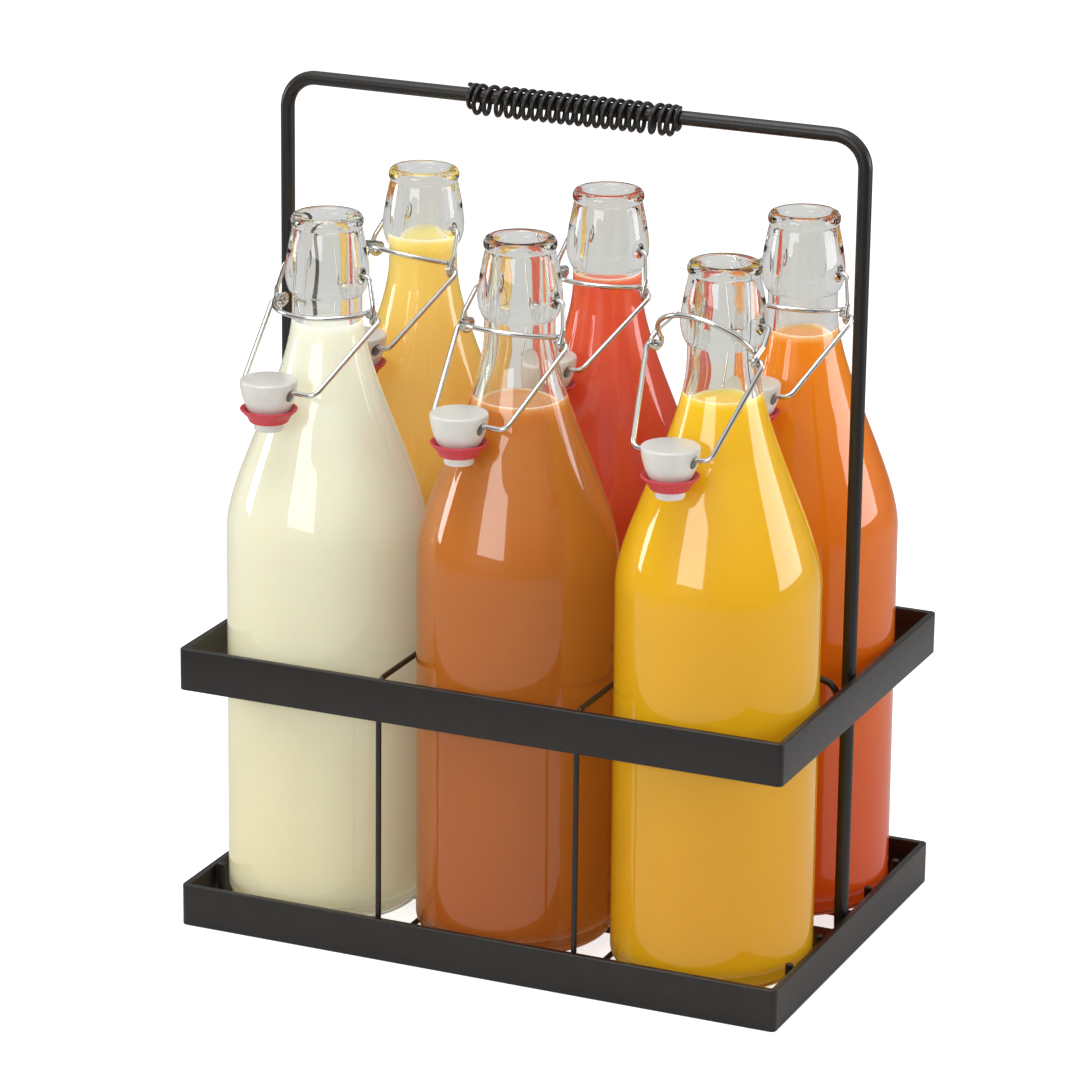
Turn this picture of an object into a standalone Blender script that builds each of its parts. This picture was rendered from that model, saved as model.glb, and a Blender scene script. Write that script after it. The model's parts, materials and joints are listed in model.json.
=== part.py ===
"""Six-bottle drinks caddy: a flat-bar and wire carrier that holds swing-top bottles.

The carrier stands on z = 0 with its long side along X, and its front faces -Y.
Each bottle has a parent empty on its own axis, turned by the angle at which its
closure faces. In that frame the closure's pivots lie along X and its stopper
hangs in front, towards -Y. All lengths are in metres and angles in degrees.
"""

import math

import bmesh
import bpy
import mathutils
import numpy as np

# Clearances
SEAT_GAP = 0.0003
WIRE_GAP = 0.0004
BOTTLE_PLAY_X = 0.0012
BOTTLE_PLAY_Y = 0.00175

# Bottle outline, heights from its base
BOTTLE_RADIUS = 0.044
BOTTLE_HEIGHT = 0.3121
BODY_HEIGHT = 0.1709
SHOULDER_REACH = 0.0241
HEEL_RADIUS = 0.007
PUNT_DEPTH = 0.0015
NECK_RADIUS = 0.01525
NECK_HEIGHT = 0.2702
NECK_REACH = 0.0298
BELL_RADIUS = 0.0183
BELL_BOTTOM = 0.2772
BELL_TAPER_START = 0.2859
BELL_TOP_RADIUS = 0.0155
LIP_RADIUS = 0.0160
LIP_HEIGHT = 0.0062
LIP_UNDERCUT = -40
MOUTH_RADIUS = 0.0101
GLASS_WALL = 0.0027
GLASS_FLOOR = 0.0065
ROUND_SEGMENTS = 18

# Swing-top closure
CLOSURE_WIRE = 0.0022
PIVOT_HEIGHT = 0.2872
DIMPLE_DEPTH = 0.0018
DIMPLE_RADIUS = 0.0019
DIMPLE_FLARE = 0.0041
LEVER_ARM = 0.0175
LEVER_SHOULDER = 0.0042
LEVER_BEND = 0.0030
LEVER_KNEE = 0.68
EYE_SPACING = 0.0492
HOOP_REACH = 0.0220
HOOP_ANGLE = 86.0
HOOP_STEPS = 5
EYE_STEPS = 10
BAIL_LENGTH = 0.0460
BAIL_FOOT_WIDTH = 0.0380
BAIL_BEND = 0.0030
STUB_LENGTH = 0.0010
BAIL_START = 80.0
BAIL_STEP = 0.05

# Stopper and gasket, heights from the stopper's cross hole
HEAD_RADIUS = 0.0125
HEAD_TOP = 0.0060
HEAD_EDGE = 0.0012
HEAD_DOME = 0.0004
HEAD_BOWL = 1.8
HEAD_FOOT_RADIUS = 0.0089
HEAD_FOOT = 0.0083
CROSS_HOLE_RADIUS = 0.0030
STEM_RADIUS = 0.00645
STEM_END = 0.0170
STEM_ROUND = 0.0006
GASKET_RADIUS = 0.01255
GASKET_RIM = 0.0070
GASKET_RIM_THICK = 0.0016
GASKET_FOOT_RADIUS = 0.0083
GASKET_FOOT = 0.0133
STOPPER_SEGMENTS = 14

# Carrier
BAR_HEIGHT = 0.019
BAR_THICK = 0.003
BAR_CORNER = 0.0025
BAR_EDGE = 0.0004
UPPER_BAND_BASE = 0.1105
DIVIDER_WIRE = 0.0025
DIVIDER_BEND = 0.006
LONG_DIVIDER_WIRE = 0.003
LONG_DIVIDER_BEND = 0.008
LONG_DIVIDER_END = 0.0015
FLOOR_WIRE = 0.0037
FLOOR_WIRE_BEND = 0.005
FLOOR_WIRE_RISE = 0.0010
OUTER_WIRE_SHARE = 1.2
HANDLE_ROD = 0.0062
HANDLE_HEIGHT = 0.3693
HANDLE_BEND = 0.014
BEND_STEPS = 6

# Grip coil on the handle
GRIP_WIRE = 0.0020
GRIP_TURN = 0.0120
GRIP_PITCH = 0.0041
GRIP_TURNS = 16
GRIP_START = -0.0305
GRIP_LEFT_PITCHES = (0.0027, 0.0030, 0.0056, 0.0056)
GRIP_RIGHT_PITCHES = (0.0060, 0.0038, 0.0034, 0.0028)
GRIP_END_TURNS = 1.5
POINTS_PER_TURN = 8

# One row per bottle: name, column, row, place along its bay, lean to the right, turn,
# lever angle, sideways place of the stopper and of the bail's foot, drink level
# from the base, drink colour
BOTTLES = (
    ("front_left", -1, -1, 0.0, 0.1, -10.9, 0.5, -0.0035, 0.0015, 0.263,
     (0.85, 0.77, 0.60)),
    ("front_middle", 0, -1, -0.0004, -0.23, -12.4, 14.2, -0.0035, 0.0015, 0.240,
     (0.55, 0.25, 0.08)),
    ("front_right", 1, -1, -0.0004, -0.23, -11.3, 50.8, 0.0, 0.0, 0.253,
     (0.80, 0.45, 0.04)),
    ("back_left", -1, 1, 0.0, 0.42, -22.3, 19.1, 0.0, 0.0, 0.281,
     (0.86, 0.50, 0.06)),
    ("back_middle", 0, 1, -0.0004, -0.17, -19.3, 9.6, 0.0, 0.0, 0.273,
     (0.72, 0.04, 0.02)),
    ("back_right", 1, 1, 0.0, -0.42, -13.2, 9.9, 0.0, 0.0, 0.258,
     (0.75, 0.17, 0.01)),
)

# Places that follow from the sizes above
BAY = 2 * (BOTTLE_RADIUS + BOTTLE_PLAY_X)
COLUMN_PITCH = BAY + DIVIDER_WIRE
ROW_Y = LONG_DIVIDER_WIRE / 2 + BOTTLE_RADIUS + BOTTLE_PLAY_Y
INNER_X = 1.5 * BAY + DIVIDER_WIRE
INNER_Y = ROW_Y + BOTTLE_RADIUS + BOTTLE_PLAY_Y
UPPER_BAND_TOP = UPPER_BAND_BASE + BAR_HEIGHT
FLOOR_BASE = SEAT_GAP + DIVIDER_WIRE + SEAT_GAP
BOTTLE_BASE = FLOOR_BASE + FLOOR_WIRE + SEAT_GAP
EYE_RADIUS = CLOSURE_WIRE + WIRE_GAP
STOPPER_HANG = CROSS_HOLE_RADIUS - CLOSURE_WIRE / 2 - SEAT_GAP


def clear_scene():
    """Removes whatever the file opened with."""
    for item in list(bpy.data.objects):
        bpy.data.objects.remove(item, do_unlink=True)


def material(name, color, roughness, metallic=0.0, transmission=0.0, ior=1.5):
    """A Principled material with plain values."""
    mat = bpy.data.materials.new(name)
    mat.use_nodes = True
    shader = mat.node_tree.nodes["Principled BSDF"]
    shader.inputs["Base Color"].default_value = (*color, 1.0)
    shader.inputs["Roughness"].default_value = roughness
    shader.inputs["Metallic"].default_value = metallic
    shader.inputs["Transmission Weight"].default_value = transmission
    shader.inputs["IOR"].default_value = ior
    mat.diffuse_color = (*color, 1.0)
    return mat


def place(name, data, parent=None, location=(0, 0, 0), rotation=(0, 0, 0)):
    """An object of this mesh or curve, or an empty where data is None."""
    item = bpy.data.objects.new(name, data)
    bpy.context.scene.collection.objects.link(item)
    item.parent = parent
    item.location = location
    item.rotation_euler = [math.radians(angle) for angle in rotation]
    return item


def finish_mesh(shape, name, mat, smooth_angle=35.0):
    """The bmesh as a mesh with outward faces, smooth except at sharp edges."""
    bmesh.ops.recalc_face_normals(shape, faces=shape.faces)
    mesh = bpy.data.meshes.new(name)
    shape.to_mesh(mesh)
    shape.free()
    mesh.materials.append(mat)
    mesh.shade_smooth()
    mesh.set_sharp_from_angle(angle=math.radians(smooth_angle))
    return mesh


def turned(name, profile, mat, segments, closed=False):
    """Spins a profile of (radius, height) points round Z into a closed body."""
    shape = bmesh.new()
    points = [shape.verts.new((radius, 0, height)) for radius, height in profile]
    edges = [shape.edges.new(pair) for pair in zip(points, points[1:])]
    if closed:
        edges.append(shape.edges.new((points[-1], points[0])))
    bmesh.ops.spin(
        shape, geom=points + edges, cent=(0, 0, 0), axis=(0, 0, 1), dvec=(0, 0, 0),
        angle=2 * math.pi, steps=segments, use_merge=True, use_duplicate=False,
    )
    bmesh.ops.remove_doubles(shape, verts=shape.verts, dist=1e-6)
    return finish_mesh(shape, name, mat)


def rounded_path(corners, radius, steps=BEND_STEPS, closed=False):
    """The corner points joined by straight runs, each bend an arc of this radius."""
    corners = [np.array(corner, float) for corner in corners]
    count = len(corners)
    path = []
    for index, corner in enumerate(corners):
        if not closed and index in (0, count - 1):
            path.append(corner)
            continue
        back = corners[index - 1] - corner
        ahead = corners[(index + 1) % count] - corner
        back /= np.linalg.norm(back)
        ahead /= np.linalg.norm(ahead)
        half = math.acos(np.clip(back @ ahead, -1, 1)) / 2
        middle = (back + ahead) / np.linalg.norm(back + ahead)
        centre = corner + middle * radius / math.sin(half)
        start = corner + back * radius / math.tan(half) - centre
        end = corner + ahead * radius / math.tan(half) - centre
        sweep = math.pi - 2 * half
        for step in range(steps + 1):
            share = step / steps
            weight_start = math.sin((1 - share) * sweep) / math.sin(sweep)
            weight_end = math.sin(share * sweep) / math.sin(sweep)
            path.append(centre + weight_start * start + weight_end * end)
    return path


def wire(name, path, diameter, mat, sides_step, closed=False):
    """A round wire along the path, with 4 + 2 * sides_step sides."""
    curve = bpy.data.curves.new(name, "CURVE")
    curve.dimensions = "3D"
    curve.bevel_depth = diameter / 2
    curve.bevel_resolution = sides_step
    curve.use_fill_caps = not closed
    spline = curve.splines.new("POLY")
    spline.points.add(len(path) - 1)
    for point, place_on_path in zip(spline.points, path):
        point.co = (*place_on_path, 1.0)
    spline.use_cyclic_u = closed
    spline.use_smooth = True
    curve.materials.append(mat)
    return curve


def bar_hoop(name, base, mat):
    """Flat bar bent on edge into a closed rectangle round the bottles."""
    shape = bmesh.new()
    rings = []
    for wall, height in ((0, 0), (0, BAR_HEIGHT), (BAR_THICK, BAR_HEIGHT), (BAR_THICK, 0)):
        x = INNER_X + BAR_THICK - wall
        y = INNER_Y + BAR_THICK - wall
        corners = [(x, y, 0), (-x, y, 0), (-x, -y, 0), (x, -y, 0)]
        radius = max(BAR_CORNER - wall, BAR_EDGE * 1.5)
        path = rounded_path(corners, radius, steps=3, closed=True)
        rings.append([shape.verts.new((px, py, height)) for px, py, _ in path])
    for ring, following in zip(rings, rings[1:] + rings[:1]):
        count = len(ring)
        for index in range(count):
            after = (index + 1) % count
            shape.faces.new((ring[index], ring[after], following[after], following[index]))
    hoop = place(name, finish_mesh(shape, name, mat), location=(0, 0, base))
    soften(hoop)
    return hoop


def soften(item):
    """Rolled edges on a flat bar."""
    bevel = item.modifiers.new("rolled edges", "BEVEL")
    bevel.width = BAR_EDGE
    bevel.segments = 1
    bevel.limit_method = "ANGLE"
    bevel.angle_limit = math.radians(60)


def floor_strip(mat):
    """Flat bar along the middle, under both feet of the handle."""
    shape = bmesh.new()
    bmesh.ops.create_cube(shape, size=1.0)
    size = (2 * (INNER_X - SEAT_GAP), BAR_HEIGHT, BAR_THICK)
    bmesh.ops.scale(shape, vec=size, verts=shape.verts)
    mesh = finish_mesh(shape, "floor_strip", mat)
    soften(place("floor_strip", mesh, location=(0, 0, FLOOR_BASE + BAR_THICK / 2)))


def floor_wires(mat):
    """Two wires under each row, their ends turned up inside the end bars.

    An end stands beside a round bottle, so its distance from the row's middle is
    what just clears the glass there.
    """
    end_x = INNER_X - SEAT_GAP - FLOOR_WIRE / 2
    room = BOTTLE_RADIUS + BOTTLE_PLAY_X - 2 * SEAT_GAP - FLOOR_WIRE
    offset = math.sqrt(BOTTLE_RADIUS**2 - room**2)
    low = FLOOR_BASE + FLOOR_WIRE / 2
    high = BAR_HEIGHT + FLOOR_WIRE_RISE
    outer = OUTER_WIRE_SHARE * offset
    places = (-ROW_Y - outer, -ROW_Y + offset, ROW_Y - offset, ROW_Y + outer)
    for number, y in enumerate(places, start=1):
        corners = [(-end_x, y, high), (-end_x, y, low), (end_x, y, low), (end_x, y, high)]
        path = rounded_path(corners, FLOOR_WIRE_BEND, steps=4)
        name = f"floor_wire_{number}"
        place(name, wire(name, path, FLOOR_WIRE, mat, 1))


def cross_dividers(mat):
    """Closed wire loops that part the three columns, inside both bands."""
    x = (BAY + DIVIDER_WIRE) / 2
    side_y = INNER_Y - SEAT_GAP - DIVIDER_WIRE / 2
    low = SEAT_GAP + DIVIDER_WIRE / 2
    high = UPPER_BAND_TOP - DIVIDER_WIRE / 2 - SEAT_GAP
    corners = [(0, -side_y, low), (0, side_y, low), (0, side_y, high), (0, -side_y, high)]
    path = rounded_path(corners, DIVIDER_BEND, steps=4, closed=True)
    for side, sign in (("left", -1), ("right", 1)):
        name = f"cross_divider_{side}"
        place(name, wire(name, path, DIVIDER_WIRE, mat, 1, closed=True), location=(sign * x, 0, 0))


def handle_post_x():
    """Where the handle's posts stand, against the end bars."""
    return INNER_X - SEAT_GAP - HANDLE_ROD / 2


def long_divider(mat):
    """Wire between the rows, under the cross dividers, ends bent down on the posts."""
    end_x = handle_post_x() - HANDLE_ROD / 2 - SEAT_GAP - LONG_DIVIDER_WIRE / 2
    high = UPPER_BAND_TOP - DIVIDER_WIRE - 2 * SEAT_GAP - LONG_DIVIDER_WIRE / 2
    low = UPPER_BAND_BASE + LONG_DIVIDER_END
    corners = [(-end_x, 0, low), (-end_x, 0, high), (end_x, 0, high), (end_x, 0, low)]
    path = rounded_path(corners, LONG_DIVIDER_BEND, steps=4)
    place("long_divider", wire("long_divider", path, LONG_DIVIDER_WIRE, mat, 1))


def handle(mat):
    """Round rod bent over the bottles, its feet on the floor strip."""
    x = handle_post_x()
    foot = FLOOR_BASE + BAR_THICK + SEAT_GAP
    top = HANDLE_HEIGHT - HANDLE_ROD / 2
    corners = [(-x, 0, foot), (-x, 0, top), (x, 0, top), (x, 0, foot)]
    path = rounded_path(corners, HANDLE_BEND, steps=7)
    place("handle", wire("handle", path, HANDLE_ROD, mat, 3))


def grip_coil_path():
    """One unbroken helix that hangs on the handle rod.

    The even turns touch only the rod's top. Over the last turns at each end the
    coil draws in until it is snug round the rod.
    """
    pitches = GRIP_LEFT_PITCHES + (GRIP_PITCH,) * GRIP_TURNS + GRIP_RIGHT_PITCHES
    turns = len(pitches)
    stations = GRIP_START - sum(GRIP_LEFT_PITCHES) + np.concatenate([[0], np.cumsum(pitches)])
    snug = (HANDLE_ROD + GRIP_WIRE) / 2 + SEAT_GAP
    loose = GRIP_TURN / 2
    path = []
    for step in range(turns * POINTS_PER_TURN + 1):
        turn = step / POINTS_PER_TURN
        ends = min(turn, turns - turn) / GRIP_END_TURNS
        share = 0.5 - 0.5 * math.cos(math.pi * min(ends, 1.0))
        radius = snug + (loose - snug) * share
        angle = 2 * math.pi * turn
        x = np.interp(turn, np.arange(turns + 1), stations)
        drop = radius - snug
        path.append(np.array([x, radius * math.sin(angle), radius * math.cos(angle) - drop]))
    return path


def least_gap(path, diameter, apart):
    """The least gap of a wire to itself, between points that many steps apart."""
    points = np.array(path)
    gaps = [
        np.linalg.norm(points[step:] - points[:-step], axis=1).min()
        for step in range(apart, len(points))
    ]
    return min(gaps) - diameter


def grip_coil(mat):
    """The wire grip in the middle of the handle."""
    path = grip_coil_path()
    fine_gap = least_gap(path, GRIP_WIRE, POINTS_PER_TURN // 2 + 1)
    print(f"least gap of the grip coil to itself: {fine_gap * 1000:.2f} mm")
    centre = (0, 0, HANDLE_HEIGHT - HANDLE_ROD / 2)
    place("grip_coil", wire("grip_coil", path, GRIP_WIRE, mat, 1), location=centre)


def curve_points(start, start_reach, end, end_reach, steps):
    """Points of a cubic that leaves and arrives straight up, without its start."""
    points = np.array([
        start,
        (start[0], start[1] + start_reach),
        (end[0], end[1] - end_reach),
        end,
    ])
    shares = np.linspace(0, 1, steps + 1)[1:, None]
    away = 1 - shares
    return (
        away**3 * points[0]
        + 3 * away**2 * shares * points[1]
        + 3 * away * shares**2 * points[2]
        + shares**3 * points[3]
    )


def arc_points(centre, radius, start, end, steps):
    """Points of an arc from angle start to end, both included."""
    angles = np.radians(np.linspace(start, end, steps + 1))
    return [(centre[0] + radius * math.cos(a), centre[1] + radius * math.sin(a)) for a in angles]


def outer_outline():
    """The bottle's outside from the punt's centre up to the lip's top."""
    heel = arc_points((BOTTLE_RADIUS - HEEL_RADIUS, HEEL_RADIUS), HEEL_RADIUS, -90, 0, 2)
    shoulder = curve_points(
        (BOTTLE_RADIUS, BODY_HEIGHT), SHOULDER_REACH, (NECK_RADIUS, NECK_HEIGHT), NECK_REACH, 6
    )
    lip_base = BOTTLE_HEIGHT - LIP_HEIGHT
    lip_round = LIP_HEIGHT / 2
    lip = arc_points((LIP_RADIUS - lip_round, lip_base + lip_round), lip_round, LIP_UNDERCUT, 90, 2)
    outline = [(0, PUNT_DEPTH), (heel[0][0] - HEEL_RADIUS / 2, PUNT_DEPTH), *heel]
    outline.append((BOTTLE_RADIUS, BODY_HEIGHT))
    outline.extend(map(tuple, shoulder))
    bell_lower = (BELL_RADIUS + NECK_RADIUS) / 2
    outline.append((NECK_RADIUS, BELL_BOTTOM))
    outline.append((bell_lower + SEAT_GAP, BELL_BOTTOM + (BELL_RADIUS - NECK_RADIUS) / 2))
    outline.append((BELL_RADIUS, BELL_BOTTOM + BELL_RADIUS - NECK_RADIUS))
    outline.append((BELL_RADIUS, BELL_TAPER_START))
    outline.append((BELL_TOP_RADIUS, lip_base))
    return outline + lip


def inner_outline():
    """The bottle's inside from the floor's centre up to the mouth."""
    body = BOTTLE_RADIUS - GLASS_WALL
    neck = MOUTH_RADIUS + SEAT_GAP
    heel = arc_points((body - HEEL_RADIUS, GLASS_FLOOR + HEEL_RADIUS), HEEL_RADIUS, -90, 0, 1)
    shoulder = curve_points(
        (body, BODY_HEIGHT), SHOULDER_REACH, (neck, NECK_HEIGHT), NECK_REACH, 4
    )
    return [(0, GLASS_FLOOR), *heel, (body, BODY_HEIGHT), *map(tuple, shoulder)]


def glass_mesh(mat):
    """The hollow bottle, with a dimple each side for the lever's ends."""
    mouth = [
        (MOUTH_RADIUS, BOTTLE_HEIGHT - LIP_HEIGHT),
        (MOUTH_RADIUS + LIP_HEIGHT / 6, BOTTLE_HEIGHT - LIP_HEIGHT / 12),
    ]
    profile = inner_outline() + mouth + outer_outline()[::-1]
    bottle = place("bottle_blank", turned("glass", profile, mat, ROUND_SEGMENTS))
    flare = BELL_RADIUS
    shape = bmesh.new()
    for side in (-1, 1):
        cone = bmesh.ops.create_cone(
            shape, cap_ends=True, segments=8, radius1=DIMPLE_RADIUS,
            radius2=DIMPLE_FLARE, depth=flare,
        )
        turn = tipped(90 * side)
        bmesh.ops.rotate(shape, verts=cone["verts"], cent=(0, 0, 0), matrix=turn)
        middle = side * (BELL_RADIUS - DIMPLE_DEPTH + flare / 2)
        bmesh.ops.translate(shape, verts=cone["verts"], vec=(middle, 0, PIVOT_HEIGHT))
    cutter = place("dimple_cutter", finish_mesh(shape, "dimple_cutter", mat))
    return cut(bottle, cutter)


def tipped(angle):
    """Rotation about Y, which lays an upright cone along X."""
    return mathutils.Matrix.Rotation(math.radians(angle), 3, "Y")


def cut(item, cutter):
    """The item's mesh with the cutter taken out of it. Both objects go."""
    hole = item.modifiers.new("cut", "BOOLEAN")
    hole.operation = "DIFFERENCE"
    hole.solver = "EXACT"
    hole.object = cutter
    bpy.context.view_layer.update()
    graph = bpy.context.evaluated_depsgraph_get()
    mesh = bpy.data.meshes.new_from_object(item.evaluated_get(graph))
    mesh.name = item.data.name
    bpy.data.objects.remove(item)
    bpy.data.objects.remove(cutter)
    return mesh


def drink_mesh(name, level, mat):
    """The filling, a clearance off the glass all round, up to its level."""
    inside = [(radius - SEAT_GAP, height) for radius, height in inner_outline()[1:]]
    inside[0] = (inside[0][0], inside[0][1] + SEAT_GAP)
    below = [point for point in inside if point[1] < level]
    edge = np.interp(level, [point[1] for point in inside], [point[0] for point in inside])
    profile = [(0, GLASS_FLOOR + SEAT_GAP), *below, (edge, level), (0, level)]
    return turned(name, profile, mat, ROUND_SEGMENTS)


def mirrored(path):
    """The path and its mirror image in X, as one run from right to left."""
    flip = np.array([-1, 1, 1])
    return path + [point * flip for point in reversed(path)]


def eye_side(sign):
    """Where the lever's wire is along X: 1 for the arm's end, -1 for the hoop's."""
    return EYE_SPACING / 2 + sign * EYE_RADIUS / 2


def lever_path():
    """The lever's wire: dimple, arm, eye, hoop round the neck, and back.

    The pivot is the X axis and the arms hang down. An eye is most of a turn round
    the eye's axis, LEVER_ARM below the pivot: the arm passes in front of the axis,
    and the hoop leaves from over it.
    """
    first = math.asin(EYE_RADIUS / LEVER_ARM)
    pin = BELL_RADIUS - DIMPLE_DEPTH + WIRE_GAP
    shoulder = BELL_RADIUS + LEVER_SHOULDER
    outer = eye_side(1)
    inner = eye_side(-1)
    forward = EYE_RADIUS * math.cos(first)
    up = EYE_RADIUS * math.sin(first) - LEVER_ARM
    knee = (outer, -forward * LEVER_KNEE, up * LEVER_KNEE)
    half = rounded_path(
        [(pin, 0, 0), (shoulder, 0, 0), knee, (outer, -forward, up)], LEVER_BEND, steps=2
    )[:-1]
    angle = math.radians(HOOP_ANGLE)
    sweep = 2 * math.pi - angle + first
    for step in range(EYE_STEPS + 1):
        turn = first - sweep * step / EYE_STEPS
        x = outer + (inner - outer) * step / EYE_STEPS
        forward = EYE_RADIUS * math.cos(turn)
        up = EYE_RADIUS * math.sin(turn) - LEVER_ARM
        half.append(np.array([x, -forward, up]))
    start = half[-1]
    ahead = np.array([0, -math.sin(angle), -math.cos(angle)])
    for step in range(1, HOOP_STEPS + 1):
        swing = math.pi * step / (2 * HOOP_STEPS + 1)
        across = np.array([inner * (math.cos(swing) - 1), 0, 0])
        half.append(start + across + ahead * HOOP_REACH * math.sin(swing))
    return mirrored(half)


def bail_path(sway):
    """The bail's wire: stubs in the lever's eyes, legs, and a straight foot.

    The foot's middle is sway to the right of the eyes' middle.
    """
    stub = eye_side(-1) - CLOSURE_WIRE / 2 - STUB_LENGTH
    leg = eye_side(1) + EYE_RADIUS + WIRE_GAP
    top = rounded_path(
        [(stub, 0, 0), (leg, 0, 0), (leg, 0, -2 * EYE_RADIUS)], EYE_RADIUS, steps=3
    )[:-1]
    flip = np.array([-1, 1, 1])
    right = (sway + BAIL_FOOT_WIDTH / 2, 0, -BAIL_LENGTH)
    left = (sway - BAIL_FOOT_WIDTH / 2, 0, -BAIL_LENGTH)
    foot = rounded_path([top[-1], right, left, top[-1] * flip], BAIL_BEND, steps=3)
    return top + foot[1:-1] + [point * flip for point in reversed(top)]


def head_outline():
    """The stopper's outline from its top's centre down to the stem's end."""
    edge_height = HEAD_TOP - HEAD_EDGE - HEAD_DOME
    edge = arc_points((HEAD_RADIUS - HEAD_EDGE, edge_height), HEAD_EDGE, 80, 0, 2)
    bowl = []
    for share in (0.5, 1.0):
        radius = HEAD_RADIUS - (HEAD_RADIUS - HEAD_FOOT_RADIUS) * share**HEAD_BOWL
        bowl.append((radius, edge[-1][1] - (HEAD_FOOT + edge[-1][1]) * share))
    stem = [
        (STEM_RADIUS, -HEAD_FOOT),
        (STEM_RADIUS, -STEM_END + STEM_ROUND),
        (STEM_RADIUS - STEM_ROUND, -STEM_END),
        (0, -STEM_END),
    ]
    return [(0, HEAD_TOP), *edge, *bowl, *stem]


def gasket_outline():
    """A flared rubber dish round the stem, under the head."""
    bore = STEM_RADIUS + SEAT_GAP
    floor = -HEAD_FOOT - SEAT_GAP
    return [
        (bore, floor),
        (HEAD_FOOT_RADIUS + WIRE_GAP, floor),
        (GASKET_RADIUS - GASKET_RIM_THICK / 2, -GASKET_RIM),
        (GASKET_RADIUS, -GASKET_RIM - GASKET_RIM_THICK / 2),
        (GASKET_RADIUS - GASKET_RIM_THICK / 3, -GASKET_RIM - GASKET_RIM_THICK),
        (GASKET_FOOT_RADIUS, -GASKET_FOOT),
        (bore, -GASKET_FOOT),
    ]


def stopper_mesh(mat):
    """The head and stem in one, with a cross hole for the bail's foot."""
    blank = place("stopper_blank", turned("stopper", head_outline(), mat, STOPPER_SEGMENTS))
    shape = bmesh.new()
    bmesh.ops.create_cone(
        shape, cap_ends=True, segments=8, radius1=CROSS_HOLE_RADIUS,
        radius2=CROSS_HOLE_RADIUS, depth=3 * HEAD_RADIUS,
    )
    bmesh.ops.rotate(shape, verts=shape.verts, cent=(0, 0, 0), matrix=tipped(90))
    cutter = place("cross_hole_cutter", finish_mesh(shape, "cross_hole_cutter", mat))
    return cut(blank, cutter)


def least_distance(points, line):
    """The least distance from the points to a line of (radius, height) points."""
    start = np.array(line[:-1])
    run = np.array(line[1:]) - start
    length = (run**2).sum(axis=1)
    best = math.inf
    for point in np.array(points):
        share = np.clip(((point - start) * run).sum(axis=1) / length, 0, 1)
        best = min(best, np.linalg.norm(start + run * share[:, None] - point, axis=1).min())
    return best


def densely(line, count=5):
    """The line's points with others evenly between them."""
    pieces = [
        np.linspace(start, end, count, endpoint=False) for start, end in zip(line, line[1:])
    ]
    return np.vstack([*pieces, [line[-1]]])


def rest_angle(lever_angle, sideways):
    """The bail's angle from straight down at which the stopper leans on the glass.

    The stopper hangs upright, so both bodies are round about upright axes and
    their nearest points lie in the plane through both. The bail swings in from
    far out until the least distance in that plane is the clearance.
    """
    stopper = np.vstack([densely(head_outline()), densely(gasket_outline())])
    glass = outer_outline()[4:]
    lean = math.radians(lever_angle)
    eye = LEVER_ARM * np.array([math.sin(lean), -math.cos(lean)])

    def clearance(bail_angle):
        turn = math.radians(bail_angle)
        forward, up = eye + BAIL_LENGTH * np.array([math.sin(turn), -math.cos(turn)])
        apart = math.hypot(forward, sideways)
        height = PIVOT_HEIGHT + up - STOPPER_HANG
        near_side = np.column_stack([apart - stopper[:, 0], height + stopper[:, 1]])
        return least_distance(near_side, glass)

    angle = BAIL_START
    while clearance(angle) > SEAT_GAP:
        angle -= BAIL_STEP
    return angle


def bottle(row, meshes, metal):
    """One bottle with its drink and closure, each piece on its own axis."""
    name, column, side, along, lean, turn = row[:6]
    lever_angle, sideways, sway, level, color = row[6:]
    rise = (BOTTLE_RADIUS - HEEL_RADIUS) * math.sin(math.radians(abs(lean)))
    spot = (column * COLUMN_PITCH + along, side * ROW_Y, BOTTLE_BASE + rise)
    seat = place(f"{name}_seat", None, location=spot, rotation=(0, lean, 0))
    stand = place(f"{name}_bottle", None, seat, rotation=(0, 0, turn))
    place(f"{name}_glass", meshes["glass"], stand)
    drink = material(f"{name}_drink", color, 0.25)
    place(f"{name}_drink", drink_mesh(f"{name}_drink", level, drink), stand)
    bail_angle = rest_angle(lever_angle, sideways)
    print(f"{name}: lever {lever_angle:.1f} and bail {bail_angle:.2f} degrees from straight down")
    lever = place(
        f"{name}_lever", meshes["lever"], stand, (0, 0, PIVOT_HEIGHT), (-lever_angle, 0, 0)
    )
    bail_wire = wire(f"{name}_bail", bail_path(sway), CLOSURE_WIRE, metal, 1)
    bail = place(
        f"{name}_bail", bail_wire, lever, (0, 0, -LEVER_ARM), (lever_angle - bail_angle, 0, 0)
    )
    hang = place(
        f"{name}_stopper_pivot", None, bail, (sideways, 0, -BAIL_LENGTH), (bail_angle, 0, 0)
    )
    below = (0, 0, -STOPPER_HANG)
    place(f"{name}_stopper", meshes["stopper"], hang, below)
    place(f"{name}_gasket", meshes["gasket"], hang, below)


def main():
    clear_scene()
    black = material("black_coating", (0.035, 0.031, 0.028), 0.45, 0.2)
    glass = material("clear_glass", (0.93, 0.96, 0.95), 0.03, 0.0, 1.0, 1.5)
    steel = material("zinc_wire", (0.62, 0.60, 0.57), 0.3, 1.0)
    white = material("stopper_white", (0.82, 0.80, 0.75), 0.35)
    red = material("gasket_red", (0.68, 0.10, 0.13), 0.5)

    bar_hoop("lower_band", 0.0, black)
    bar_hoop("upper_band", UPPER_BAND_BASE, black)
    floor_strip(black)
    floor_wires(black)
    cross_dividers(black)
    long_divider(black)
    handle(black)
    grip_coil(black)

    meshes = {
        "glass": glass_mesh(glass),
        "lever": wire("lever", lever_path(), CLOSURE_WIRE, steel, 1),
        "stopper": stopper_mesh(white),
        "gasket": turned("gasket", gasket_outline(), red, STOPPER_SEGMENTS, closed=True),
    }
    for row in BOTTLES:
        bottle(row, meshes, steel)


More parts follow.
